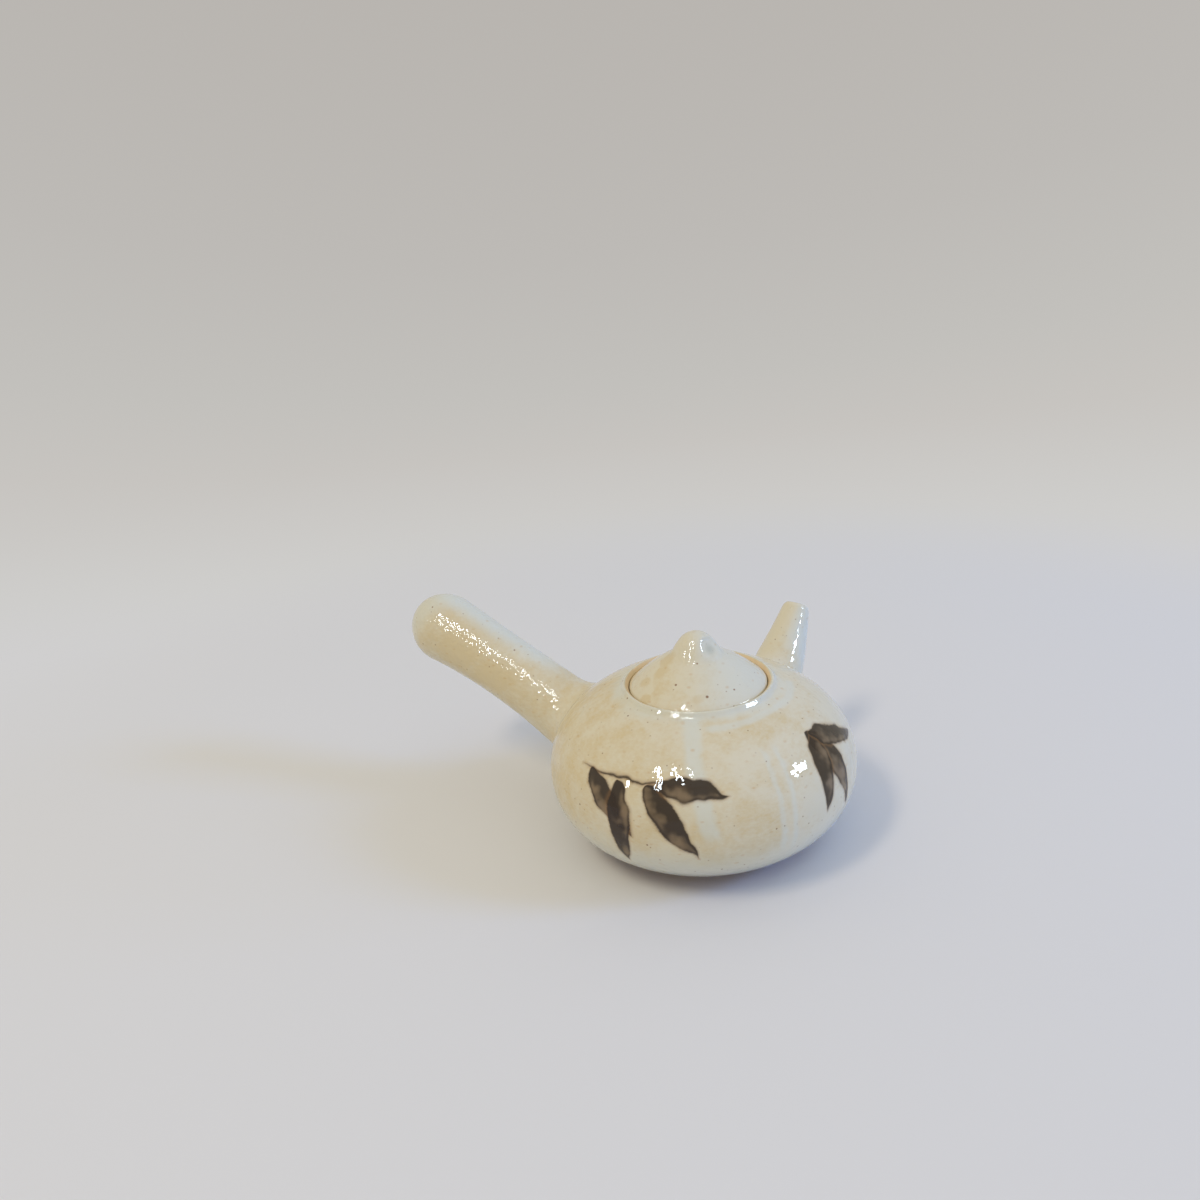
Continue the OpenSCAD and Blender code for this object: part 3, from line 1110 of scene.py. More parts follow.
@dataclass(frozen=True)
class GlazeBand:
    """A curved band of thick pale glaze round the shoulder, in degrees and millimetres."""

    first: float
    last: float
    radius: float
    width: float
    strength: float = 0.6

    def mask(self, ground: Ground) -> Value:
        """Draws the band.

        Args:
            ground: Places and noises of the piece.

        Returns:
            How thick the band is, from 0 to its strength.
        """
        fade, half = math.radians(6.0), self.width / 2
        first, last = math.radians(self.first), math.radians(self.last)
        ends = ground.azimuth.ramp(first, first + fade) * ground.azimuth.ramp(last, last - fade)
        off = abs(ground.radius - self.radius + (ground.broad - 0.5) * 5.0)
        return off.ramp(half + 0.8, half - 0.8) * ends * ground.z.ramp(46.0, 48.0) * self.strength


@dataclass(frozen=True)
class ThickFlank:
    """One side of a piece on which the glaze lies thick and pale, in millimetres."""

    facing: Vector
    start: Vector
    low: float
    high: float
    strength: float = 0.85

    def mask(self, ground: Ground) -> Value:
        """Draws the flank, from 0 to its strength, with a border that wanders."""
        off = ground.graph.along(ground.place, self.facing, self.start) + (ground.broad - 0.5) * 9.0
        return off.ramp(self.low, self.high) * self.strength


@dataclass(frozen=True)
class Blot:
    """A soft spot on the glaze, in millimetres: ochre, painted shade in a hollow, or paler where its strength
    is negative.
    """

    spot: tuple[float, float, float]
    size: float
    strength: float

    def mask(self, ground: Ground) -> Value:
        """Draws the spot, from 0 at its rim to its strength in the middle."""
        return ground.graph.gap(ground.place, self.spot).ramp(self.size, 0.0) * self.strength


@dataclass(frozen=True)
class SpeckField:
    """Specks strewn at random: each fades between two radii, and only some of them show, in millimetres."""

    apart: float
    outer: float
    inner: float
    faint_below: float
    full_above: float
    strength: float = 1.0

    def mask(self, graph: Graph, place: Socket) -> Value:
        """Draws the specks.

        Args:
            graph: Graph to add to.
            place: Place in millimetres.

        Returns:
            How strong the specks are, from 0 to their strength.
        """
        away, chance = graph.cells(place, self.apart)
        shown = chance.ramp(self.faint_below, self.full_above)
        return away.ramp(self.outer, self.inner) * shown * self.strength


@dataclass(frozen=True)
class AshGlaze:
    """Creamy ash glaze: ochre where thin, blue-white where thick, with iron specks and fine pits."""

    name: str
    form: PotForm
    sprays: tuple[LeafSpray, ...] = ()
    runs: tuple[GlazeRun, ...] = ()
    blots: tuple[Blot, ...] = ()
    # Spots of painted shade, grey-green, in hollows such as the thumb dent.
    dent_shade_spots: tuple[Blot, ...] = ()
    specks: tuple[tuple[tuple[float, float, float], float], ...] = ()
    bands: tuple[GlazeBand, ...] = ()
    flanks: tuple[ThickFlank, ...] = ()
    bare_inside: Optional[float] = None
    # Height under which the glaze stops; the bare band there is darkened as painted contact shadow under the
    # belly.
    shaded_bare_below: Optional[float] = None
    collar_r: Optional[float] = None
    ochre_bias: float = 0.0
    peel: float = 1.0
    peel_size: float = 2.0
    waves: float = 1.0
    wave_size: float = 5.0
    smear: float = 2.0
    limb: Optional[tuple[float, float]] = None
    iron: SpeckField = SpeckField(5.4, 0.48, 0.15, 0.25, 0.7)
    pepper: SpeckField = SpeckField(2.1, 0.36, 0.12, 0.45, 0.95, 0.6)
    freckles: SpeckField = SpeckField(3.6, 1.1, 0.1, 0.35, 0.95, 0.38)
    ochre_from: float = 0.85
    ochre_full: float = 1.39
    gloss: float = 1.5
    least_rough: float = 0.014
    more_rough: float = 0.024
    bare_rough: float = 0.5
    bump_depth: float = 0.1
    cream: Colour = screen(217, 210, 187)
    ochre: Colour = screen(209, 192, 152)
    thick: Colour = screen(212, 215, 205)
    # Painted shade: the grey-green of the thumb dent's hollow.
    dent_shade_grey: Colour = screen(172, 176, 160)
    freckle: Colour = screen(196, 158, 100)
    rust: Colour = screen(124, 82, 48)
    clay: Colour = screen(232, 203, 164)
    # Painted contact shadow: the dark brown of the bare band under the belly.
    contact_shade_brown: Colour = screen(158, 114, 76)
    # Side towards the warm lamps, where the glaze leans ochre: partly real glaze and partly painted warm
    # light.
    warm_lit_side: tuple[float, float, float] = (-0.629, 0.777, 0.0)

    def material(self) -> Material:
        """Builds the glaze.

        Returns:
            The material.
        """
        material, graph = new_material(self.name)
        ground = Ground.of(graph, self.smear)
        middle, fine = ground.middle, ground.fine
        limb = ground.radius.ramp(*self.limb) if self.limb else 1.0
        thin = self._thin(ground) + limb * self.ochre_bias
        colour = graph.blend(thin, self.cream, self.ochre)
        colour = graph.blend(self._thick(ground, limb), colour, self.thick)
        # Painted shade: grey-green spots darken hollows such as the thumb dent.
        for pool in self.dent_shade_spots:
            colour = graph.blend(pool.mask(ground), colour, self.dent_shade_grey)
        colour = self._specked(ground, colour)
        for spray in self.sprays:
            colour = spray.paint(ground, colour, self.form)
        peel = graph.cloud(ground.place, self.peel_size, 0.5)
        waves = graph.cloud(ground.place, self.wave_size, 0.0)
        normal = graph.bump(peel * self.peel + waves * self.waves, self.bump_depth)
        rough = self.least_rough + self.more_rough * middle
        if self.bare_inside is not None:
            edge = ground.radius + (middle - 0.5) * 0.8
            bare = edge.ramp(self.bare_inside + 0.25, self.bare_inside - 0.1)
            colour = graph.blend(bare, colour, graph.blend(fine, self.clay, self.ochre))
            rough = rough + bare * self.bare_rough
        # Bare band above the foot, darker than the foot ring's clay: painted contact shadow where the belly
        # nears the table.
        if self.shaded_bare_below is not None:
            edge = ground.z + (middle - 0.5) * 2.4
            bare = edge.ramp(self.shaded_bare_below + 0.3, self.shaded_bare_below - 0.3)
            colour = graph.blend(bare, colour, graph.blend(fine, self.contact_shade_brown, self.rust))
            rough = rough + bare * self.bare_rough
        graph.coat({"Base Color": colour, "Roughness": rough, "IOR": self.gloss, "Normal": normal})
        return material

    def _thin(self, ground: Ground) -> Value:
        """Finds how thin, and so how ochre, the glaze is; its lean to the warm-lit side is partly painted
        warm light.

        Args:
            ground: Places and noises of the piece.

        Returns:
            The share of ochre, from 0 to 1.
        """
        # Ochre leans to the warm-lit side and away from the cool window: partly real glaze and partly painted
        # light.
        side = ground.graph.along(ground.place, Vector(self.warm_lit_side), Vector()) / self.form.belly_r
        patchy = ground.broad * 0.9 + ground.middle * 0.7 + ground.fine * 0.45 + side * 0.12
        low = ground.z.ramp(26.0, 6.0) * 0.35
        for blot in self.blots:
            patchy = patchy + blot.mask(ground)
        return (patchy - low).ramp(self.ochre_from, self.ochre_full)

    def _thick(self, ground: Ground, limb: Number) -> Value:
        """Finds how thick, and so how blue-white, the glaze is.

        Args:
            ground: Places and noises of the piece.
            limb: 1 out on a limb of the pot and 0 at its root.

        Returns:
            The share of thick glaze, from 0 to 1.
        """
        z, broad = ground.z, ground.broad
        clear = 1.0 - z.ramp(28.0, 8.0) * 0.8
        for lain in self.runs + self.bands:
            clear = clear * (1.0 - lain.mask(ground))
        for flank in self.flanks:
            clear = clear * (1.0 - flank.mask(ground) * limb)
        if self.collar_r is not None:
            collar = ground.radius + (ground.middle - 0.5) * 6.0
            near = collar.ramp(self.collar_r + 4.0, self.collar_r - 0.6)
            clear = clear * (1.0 - near * z.ramp(50.0, 52.0) * broad.ramp(0.3, 0.6) * 0.75)
        return 1.0 - clear

    def _specked(self, ground: Ground, colour: Socket) -> Socket:
        """Adds the smeared freckles, a fine pepper and the iron specks.

        Args:
            ground: Places and noises of the piece.
            colour: Colour below the specks.

        Returns:
            The colour with the specks.
        """
        graph, place = ground.graph, ground.place
        smeared = graph.squeezed(place, self.smear)
        colour = graph.blend(self.freckles.mask(graph, smeared), colour, self.freckle)
        colour = graph.blend(self.pepper.mask(graph, place), colour, self.rust)
        dots = self.iron.mask(graph, place)
        for spot, size in self.specks:
            dots = dots + graph.gap(place, spot).ramp(size, size * 0.45)
        return graph.blend(dots.clamped() * 0.85, colour, self.rust)


@dataclass(frozen=True)
class BareClay:
    """Unglazed stoneware, fired tan, with a fine sandy grain."""

    name: str
    pale: Colour = screen(216, 192, 156)
    burnt: Colour = screen(198, 158, 112)

    def material(self) -> Material:
        """Builds the bare clay.

        Returns:
            The material.
        """
        material, graph = new_material(self.name)
        place = graph.place_mm()
        cloudy = graph.cloud(place, 9.0, 4.0, 0.6)
        grain = graph.cloud(place, 0.5, 3.0, 0.7)
        colour = graph.blend((cloudy * 0.7 + grain * 0.3).ramp(0.35, 0.65), self.pale, self.burnt)
        rough = 0.66 + 0.2 * grain
        graph.coat({"Base Color": colour, "Roughness": rough, "Normal": graph.bump(grain, 0.05)})
        return material


@dataclass(frozen=True)
class InsideGlaze:
    """Thin clear glaze over white stoneware, as inside the pot."""

    name: str
    pale: Colour = screen(206, 198, 176)
    deep: Colour = screen(192, 176, 142)

    def material(self) -> Material:
        """Builds the inside glaze.

        Returns:
            The material.
        """
        material, graph = new_material(self.name)
        place = graph.place_mm()
        cloudy = graph.cloud(place, 11.0, 4.0, 0.6)
        fine = graph.cloud(place, 1.2, 2.0)
        colour = graph.blend(cloudy.ramp(0.35, 0.7), self.pale, self.deep)
        rough = 0.2 + 0.15 * cloudy
        graph.coat({"Base Color": colour, "Roughness": rough, "Normal": graph.bump(fine, 0.04)})
        return material


def dress(piece: Piece, rider: Rider, slot: Slot, node: str, *materials: Material) -> Piece:
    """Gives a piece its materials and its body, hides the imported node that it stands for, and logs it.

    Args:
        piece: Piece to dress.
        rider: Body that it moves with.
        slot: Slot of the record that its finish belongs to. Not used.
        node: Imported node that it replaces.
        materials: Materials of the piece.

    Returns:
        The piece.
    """
    for material in materials:
        piece.data.materials.append(material)
    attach(piece, rider.value)
    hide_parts(node)
    LOG.info("%s: %d faces, stands for %s", piece.name, len(piece.data.polygons), node)
    return piece


@dataclass
class Pot:
    """The thrown pot: body, foot ring and lid seat, in millimetres."""

    form: PotForm
    drift: HandDrift
    foot_r: float
    foot_w: float = 5.0
    foot_edge: float = 0.9
    joint_sunk: float = 0.3
    inside_share: float = 0.92
    lip_z: float = 56.5
    crest_r: float = 24.9
    crest_round: float = 0.65
    crest_first: float = 35.0
    crest_last: float = 132.0
    chamfer_round: float = 0.5
    chamfer_drop: float = 1.35
    gallery_r: float = 23.5
    ledge_z: float = 52.0
    ledge_t: float = 3.0
    throat_r: float = 19.2
    throat_round: float = 1.2
    fillet: float = 0.9
    spin_steps: int = 192
    curve_steps: int = 48

    def build_body(self, hole: Piece, glaze: Material,
                   inside: Material) -> Piece:
        """Throws the body with its wall and floor, and cuts the spout's hole.

        Args:
            hole: Cutter of the hole behind the spout.
            glaze: Glaze of the outside.
            inside: Glaze of the inside.

        Returns:
            The piece.
        """
        form = self.form
        floor_z = form.foot_z + form.floor_t
        outer = form.line(form.foot_z, 0.0, self.curve_steps)
        inner = form.line(floor_z, form.wall, self.curve_steps)
        outline = [(0.0, form.foot_z)] + outer + inner[::-1] + [(0.0, floor_z)]
        piece = Clay().throw(outline, self.spin_steps).fire("pot_body", self.drift)
        drill(piece, hole)
        dress(piece, Rider.POT, Slot.CREAM_GLAZE, "body", glaze, inside)
        for face in piece.data.polygons:
            middle = face.center / MM
            within = form.outness(middle) < self.inside_share and middle.z > floor_z - 1
            face.material_index = 1 if within else 0
        return piece

    def build_foot(self, clay: Material) -> Piece:
        """Turns the foot ring that the pot stands on.

        Args:
            clay: Bare clay of the ring.

        Returns:
            The piece.
        """
        top = self.form.foot_z + self.joint_sunk
        outline = rounded_ring(self.foot_r - self.foot_w, self.foot_r, 0.0, top, self.foot_edge)
        piece = Clay().throw(outline, self.spin_steps).fire("foot_ring_turned", self.drift)
        return dress(piece, Rider.POT, Slot.BARE_CLAY, "foot_ring", clay)

    def build_seat(self, glaze: Material) -> Piece:
        """Throws the collar and the ledge that hold the lid.

        Args:
            glaze: Glaze of the collar, bare inside.

        Returns:
            The piece.
        """
        form, first, last = self.form, self.crest_first, self.crest_last
        crown = arc((self.crest_r, self.lip_z - self.crest_round), self.crest_round, first, last, 12)
        chamfer = (self.gallery_r + self.chamfer_round, self.lip_z - self.chamfer_drop)
        crown += arc(chamfer, self.chamfer_round, last, 180, 4)
        start = Vector((form.seat_r, form.neck_z))
        below = Vector(form.wall_point(form.lift_at(form.seat_r + 0.5)))
        along = (start - below).normalized()
        end = Vector(crown[0])
        rise = Vector((-math.sin(math.radians(first)), math.cos(math.radians(first))))
        controls = (start, start + along * 0.9, end - rise * 0.7, end)
        outline = [tuple(bezier(controls, i / 12)) for i in range(12)] + crown
        corner, soft = self.fillet, self.throat_round
        outline += arc((self.gallery_r - corner, self.ledge_z + corner), corner, 0, -90, 5)
        outline += arc((self.throat_r + soft, self.ledge_z - soft), soft, 90, 180, 6)
        outline += arc((self.throat_r + soft, self.ledge_z - self.ledge_t + soft), soft, 180, 270, 6)
        inner_neck = form.line(form.foot_z + form.floor_t, form.wall, 4)[-1]
        outline += [inner_neck, tuple(start)]
        piece = Clay().throw(outline, self.spin_steps).fire("lid_seat_thrown", self.drift)
        return dress(piece, Rider.POT, Slot.CREAM_GLAZE, "lid_seat", glaze)

@dataclass
class Luting:
    """Smoothed coil of clay over the joint of a tube and the wall, in millimetres."""

    form: PotForm
    tube: Tube
    reach: float
    spread: float
    sink: float = 0.06
    bury: float = 0.9
    fullness: float = 0.62
    steps: int = 12

    def section(self, a: float) -> Ring:
        """Draws the coil's section along one side line of the tube.

        Args:
            a: Angle of the side line round the tube.

        Returns:
            The points of the section, closed: the smoothed side and then the buried side.
        """
        form, tube = self.form, self.tube
        at = tube.leaves_wall(form, a)
        corner = tube.point(at, a)
        upper = at + self.reach / tube.length
        start = tube.point(upper, a, self.sink)
        wall_out = form.normal(corner)
        out = tube.side(at, a)
        away = (out - out.dot(wall_out) * wall_out).normalized()
        foot = form.on_wall(corner + self.spread * away)
        foot_out = form.normal(foot)
        back = corner - foot
        back = (back - back.dot(foot_out) * foot_out).normalized() * back.length
        foot = foot - self.sink * foot_out
        down = tube.point(upper - 0.2 * self.reach / tube.length, a, self.sink) - start
        down = down.normalized() * (corner - start).length
        controls = (start, start + down * self.fullness, foot + back * self.fullness, foot)
        points = [bezier(controls, i / self.steps) for i in range(self.steps + 1)]
        points.append(foot - self.bury * foot_out)
        points.append(corner - self.bury * (wall_out + out))
        points.append(tube.point(upper, a, self.sink + self.bury))
        return points + [points[0]]

    def build(self, name: str, node: str, drift: HandDrift, glaze: Material, turn: float = 0.0) -> Piece:
        """Lofts the coil round the tube.

        Args:
            name: Name of the piece.
            node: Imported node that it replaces.
            drift: Unevenness of the clay.
            glaze: Glaze of the coil.
            turn: Turn about the pot's axis in degrees.

        Returns:
            The piece.
        """
        sections = [self.section(a) for a in self.tube.angles()]
        rings = [list(ring) for ring in zip(*sections)]
        piece = Clay().loft(rings).turn(turn).fire(name, drift)
        return dress(piece, Rider.POT, Slot.CREAM_GLAZE, node, glaze)


@dataclass
class Spout:
    """The spout and the coil that joins it to the wall."""

    tube: SpoutTube
    drift: HandDrift
    bury: float = 1.6
    rings: int = 40
    lip_steps: int = 12
    lip_draw: float = 1.7
    seam_reach: float = 7.0
    seam_spread: float = 3.4
    bore_at: float = 0.3
    hole_l: float = 30.0
    hole_flare: float = 0.5

    def build(self, glaze: Material) -> Piece:
        """Lofts the spout with its bore and rounded lip.

        Args:
            glaze: Glaze of the spout.

        Returns:
            The piece.
        """
        tube, angles = self.tube, self.tube.angles()
        lip_r = tube.tip_wall / 2
        last = 1 - self.lip_draw / tube.length
        bore = tube.roots(tube.form, tube.wall(self.bore_at), self.bury)
        rings = tube.skin(bore, last, self.rings, tube.wall)
        for i in range(1, self.lip_steps):
            turn = math.pi * i / self.lip_steps
            t = last + self.lip_draw * math.sin(turn) / tube.length
            inset = lip_r + lip_r * math.cos(turn)
            rings.append([tube.point(t, a, inset) for a in angles])
        outside = tube.roots(tube.form, 0.0, self.bury)
        rings += tube.skin(outside, last, self.rings, lambda t: 0.0)[::-1]
        piece = Clay().loft(rings + [rings[0]]).fire("spout_thrown", self.drift)
        return dress(piece, Rider.POT, Slot.CREAM_GLAZE, "spout", glaze)

    def build_seam(self, glaze: Material) -> Piece:
        """Smooths the coil over the spout's joint."""
        luting = Luting(self.tube.form, self.tube, self.seam_reach, self.seam_spread)
        return luting.build("spout_luting", "spout_seam", self.drift, glaze)

    def wall_hole(self) -> Piece:
        """Makes the cutter of the hole through the wall behind the spout.

        Returns:
            The cutter.
        """
        tube = self.tube
        way = (tube.bend - tube.root).normalized()
        middle = tube.root + way * ((tube.form.belly_r - tube.form.wall / 2 - tube.root.x) / way.x)
        turn = Vector((0.0, 0.0, 1.0)).rotation_difference(way).to_matrix().to_4x4()
        return flared_hole(tube.hole_d / 2, self.hole_l, self.hole_flare, Matrix.Translation(middle) @ turn)


@dataclass
class Handle:
    """The hollow side handle and the coil that joins it to the wall."""

    tube: HandleTube
    drift: HandDrift
    bury: float = 1.6
    rings: int = 64
    dome_rings: int = 16
    seam_reach: float = 9.0
    seam_spread: float = 4.4
    air_d: float = 2.5
    air_at: float = 16.0
    air_over: float = 2.4
    air_flare: float = 0.7

    def build(self, glaze: Material) -> Piece:
        """Lofts the handle as a hollow wall with a closed round end, and pierces its air hole.

        Args:
            glaze: Glaze of the handle.

        Returns:
            The piece.
        """
        inner, inner_pole = self._skin(self.tube.wall)
        outer, outer_pole = self._skin(0.0)
        clay = Clay().loft(inner[::-1] + outer, inner_pole, outer_pole).turn(self.tube.turn)
        piece = clay.fire("handle_thrown", self.drift)
        drill(piece, self._air_hole())
        return dress(piece, Rider.POT, Slot.CREAM_GLAZE, "handle", glaze)

    def _skin(self, inset: float) -> tuple[list[Ring], Vector]:
        """Draws the rings of the handle's outer or inner skin.

        Args:
            inset: Depth of the skin below the outer surface.

        Returns:
            The rings from the root to the round end, and the pole of that end.
        """
        tube, angles = self.tube, self.tube.angles()
        start = tube.dome_start
        roots = tube.roots(tube.form, inset, self.bury)
        rings = tube.skin(roots, start, self.rings, lambda t: inset)
        shrink = 1 - 2 * inset / tube.end_d
        for i in range(1, self.dome_rings):
            turn = math.pi / 2 * i / self.dome_rings
            t = start + (1 - start) * math.sin(turn) * shrink
            thick = tube.end_d / 2 * math.cos(turn) * shrink
            rings.append([tube.axis(t) + thick * tube.side(t, a) for a in angles])
        return rings, tube.axis(start + (1 - start) * shrink)

    def _air_hole(self) -> Piece:
        """Makes the cutter of the air hole under the handle, near its root.

        Returns:
            The cutter.
        """
        tube = self.tube
        at = (tube.buried + self.air_at) / tube.length
        middle = tube.axis(at) - Vector((0.0, 0.0, tube.radius(at) - tube.wall / 2))
        way = Matrix.Rotation(math.radians(tube.turn), 4, "Z") @ Matrix.Translation(middle)
        return flared_hole(self.air_d / 2, tube.wall + self.air_over, self.air_flare, way)

    def build_seam(self, glaze: Material) -> Piece:
        """Smooths the coil over the handle's joint."""
        luting = Luting(self.tube.form, self.tube, self.seam_reach, self.seam_spread)
        return luting.build("handle_luting", "handle_seam", self.drift, glaze, self.tube.turn)


@dataclass
class Lid:
    """The loose lid with its flange and knob, in millimetres."""

    drift: HandDrift
    lid_r: float
    ledge_z: float
    knob_r: float
    knob_z: float
    knob_top: float
    flange_r: float
    flange_z: float
    edge_t: float = 3.5
    rise: float = 13.7
    fullness: float = 1.5
    hollow: float = 7.5
    flange_t: float = 2.8
    flange_edge: float = 1.1
    flange_sunk: float = 0.3
    soft: float = 1.5
    edge_round: float = 1.3
    vent_d: float = 2.6
    vent_flare: float = 0.45
    vent_r: float = 13.0
    waist_d: float = 14.4
    crown_d: float = 12.0
    dent_turn: float = -95.0
    dent_r: float = 6.3
    dent_share: float = 0.47
    dent_depth: float = 2.0
    dent_size: float = 3.3
    dent_drop: float = 3.0
    seat_fill: float = 0.8
    knob_settle: float = 0.5
    knob_sunk: float = 1.0
    top_steps: int = 36
    under_steps: int = 16
    knob_steps: int = 40
    spin_steps: int = 160

    @classmethod
    def from_frame(cls, drift: HandDrift) -> "Lid":
        """Reads the lid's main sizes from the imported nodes.

        Args:
            drift: Unevenness of the clay.

        Returns:
            The lid.
        """
        lid, knob, flange = box_mm("lid"), box_mm("knob"), box_mm("lid_flange")
        lid_r = lid[1].x + cls.seat_fill
        top = knob[1].z - cls.knob_settle
        return cls(drift, lid_r, lid[0].z, knob[1].x, knob[0].z, top, flange[1].x, flange[0].z)

    def top(self, r: float) -> float:
        """Gives the height of the lid's top face at a radius."""
        return self.ledge_z + self.edge_t + self.rise * (1 - (r / self.lid_r) ** self.fullness)

    def steepness(self, r: float) -> float:
        """Gives how steeply the lid's top falls at a radius."""
        return self.rise * self.fullness * (r / self.lid_r) ** (self.fullness - 1) / self.lid_r

    @property
    def hollow_r(self) -> float:
        """Gives the radius of the hollow inside the flange."""
        return self.flange_r - self.flange_t

    def under(self, r: float) -> float:
        """Gives the height of the hollow underside at a radius."""
        return self.ledge_z + self.hollow * (1 - (r / self.hollow_r) ** self.fullness)

    def build_lid(self, glaze: Material) -> Piece:
        """Throws the domed disc with its hollow and pierces the steam hole.

        Args:
            glaze: Glaze of the lid.

        Returns:
            The piece.
        """
        soft, low = self.soft, self.edge_round
        fall = math.degrees(math.atan(self.steepness(self.lid_r)))
        drop = soft * math.tan(math.radians(90 - fall) / 2)
        shoulder = (self.lid_r - soft, self.top(self.lid_r) - drop)
        outline = arc((self.lid_r - low, self.ledge_z + low), low, -90, 0, 5)
        outline += arc(shoulder, soft, 0, 90 - fall, 6)
        first = outline[-1][0]
        for i in range(1, self.top_steps + 1):
            r = first * (1 - i / self.top_steps)
            outline.append((r, self.top(r)))
        for i in range(self.under_steps + 1):
            r = self.hollow_r * i / self.under_steps
            outline.append((r, self.under(r)))
        outline.append(outline[0])
        piece = Clay().throw(outline, self.spin_steps).fire("lid_thrown", self.drift)
        upper, under = self.top(self.vent_r), self.under(self.vent_r)
        lean = Matrix.Rotation(math.atan(self.steepness(self.vent_r)), 4, "Y")
        way = Matrix.Translation((self.vent_r, 0.0, (upper + under) / 2)) @ lean
        drill(piece, flared_hole(self.vent_d / 2, upper - under, self.vent_flare, way))
        return dress(piece, Rider.LID, Slot.CREAM_GLAZE, "lid", glaze)

    def build_flange(self, clay: Material) -> Piece:
        """Throws the ring under the lid that keeps it in the throat.

        Args:
            clay: Bare clay of the ring.

        Returns:
            The piece.
        """
        top = self.ledge_z + self.flange_sunk
        outline = rounded_ring(self.hollow_r, self.flange_r, self.flange_z, top, self.flange_edge)
        piece = Clay().throw(outline, self.spin_steps).fire("lid_flange_thrown", self.drift)
        return dress(piece, Rider.LID, Slot.BARE_CLAY, "lid_flange", clay)

    def build_knob(self, glaze: Material) -> Piece:
        """Throws the knob, which flows out of the lid, and presses a thumb dent into its side.

        Args:
            glaze: Glaze of the knob.

        Returns:
            The piece.
        """
        height = self.knob_top - self.knob_z
        waist = self.waist_d / 2
        controls = (
            Vector((self.knob_r, self.top(self.knob_r))),
            Vector((waist, self.top(self.knob_r) + (self.knob_r - waist) * self.steepness(self.knob_r))),
            Vector((self.crown_d / 2, self.knob_top)),
            Vector((0.0, self.knob_top)),
        )
        steps, sunk = self.knob_steps, self.knob_z - self.knob_sunk
        outline = [(0.0, sunk), (self.knob_r, sunk)]
        for i in range(6, 0, -1):
            r = self.knob_r + 0.2 * i
            outline.append((r, self.top(r) - 0.006 * i * i))
        outline += [tuple(bezier(controls, i / steps)) for i in range(steps + 1)]
        turn = math.radians(self.dent_turn)
        dent_z = self.knob_z + self.dent_share * height
        dent = Vector((self.dent_r * math.cos(turn), self.dent_r * math.sin(turn), dent_z))
        press = (dent - Vector((0.0, 0.0, dent.z + self.dent_drop))).normalized()

        def pressed(p: Vector) -> Vector:
            """Moves a point of the knob in under the thumb."""
            depth = self.dent_depth * math.exp(-(((p - dent).length / self.dent_size) ** 3))
            return p - press * (depth * min(1.0, max(0.0, (p.z - self.knob_z - 0.3) / 1.6)))

        piece = Clay().throw(outline, self.spin_steps).push(pressed).fire("knob_pulled", self.drift)
        return dress(piece, Rider.LID, Slot.CREAM_GLAZE, "knob", glaze)


class WindowKind(Enum):
    """What a window does: light the pot softly, or show as a bright pane in its gloss."""

    SOFT = "soft"
    MIRRORED = "mirrored"


@dataclass(frozen=True)
class SoftWindow:
    """A window of light that faces the pot, with its place in degrees and metres."""

    name: str
    azimuth: float
    elevation: float
    width: float
    height: float
    brightness: float
    colour: tuple[float, float, float]
    lean: float = 0.0
    kind: WindowKind = WindowKind.SOFT
    distance: float = 2.0

    def hang(self, target: Vector) -> None:
        """Hangs the light.

        Args:
            target: Point that it faces.
        """
        az, el = math.radians(self.azimuth), math.radians(self.elevation)
        way = Vector((math.cos(el) * math.cos(az), math.cos(el) * math.sin(az), math.sin(el)))
        data = bpy.data.lights.new(self.name, "AREA")
        data.shape = "RECTANGLE"
        data.size, data.size_y = self.width, self.height
        data.energy = math.pi * self.brightness * self.width * self.height
        data.color = self.colour
        lamp = bpy.data.objects.new(self.name, data)
        lamp.location = target + way * self.distance
        leant = Quaternion((0.0, 0.0, 1.0), math.radians(self.lean))
        lamp.rotation_euler = ((-way).to_track_quat("-Z", "Y") @ leant).to_euler()
        lamp.visible_diffuse = self.kind is WindowKind.SOFT
        lamp.visible_glossy = self.kind is WindowKind.MIRRORED
        bpy.context.scene.collection.objects.link(lamp)


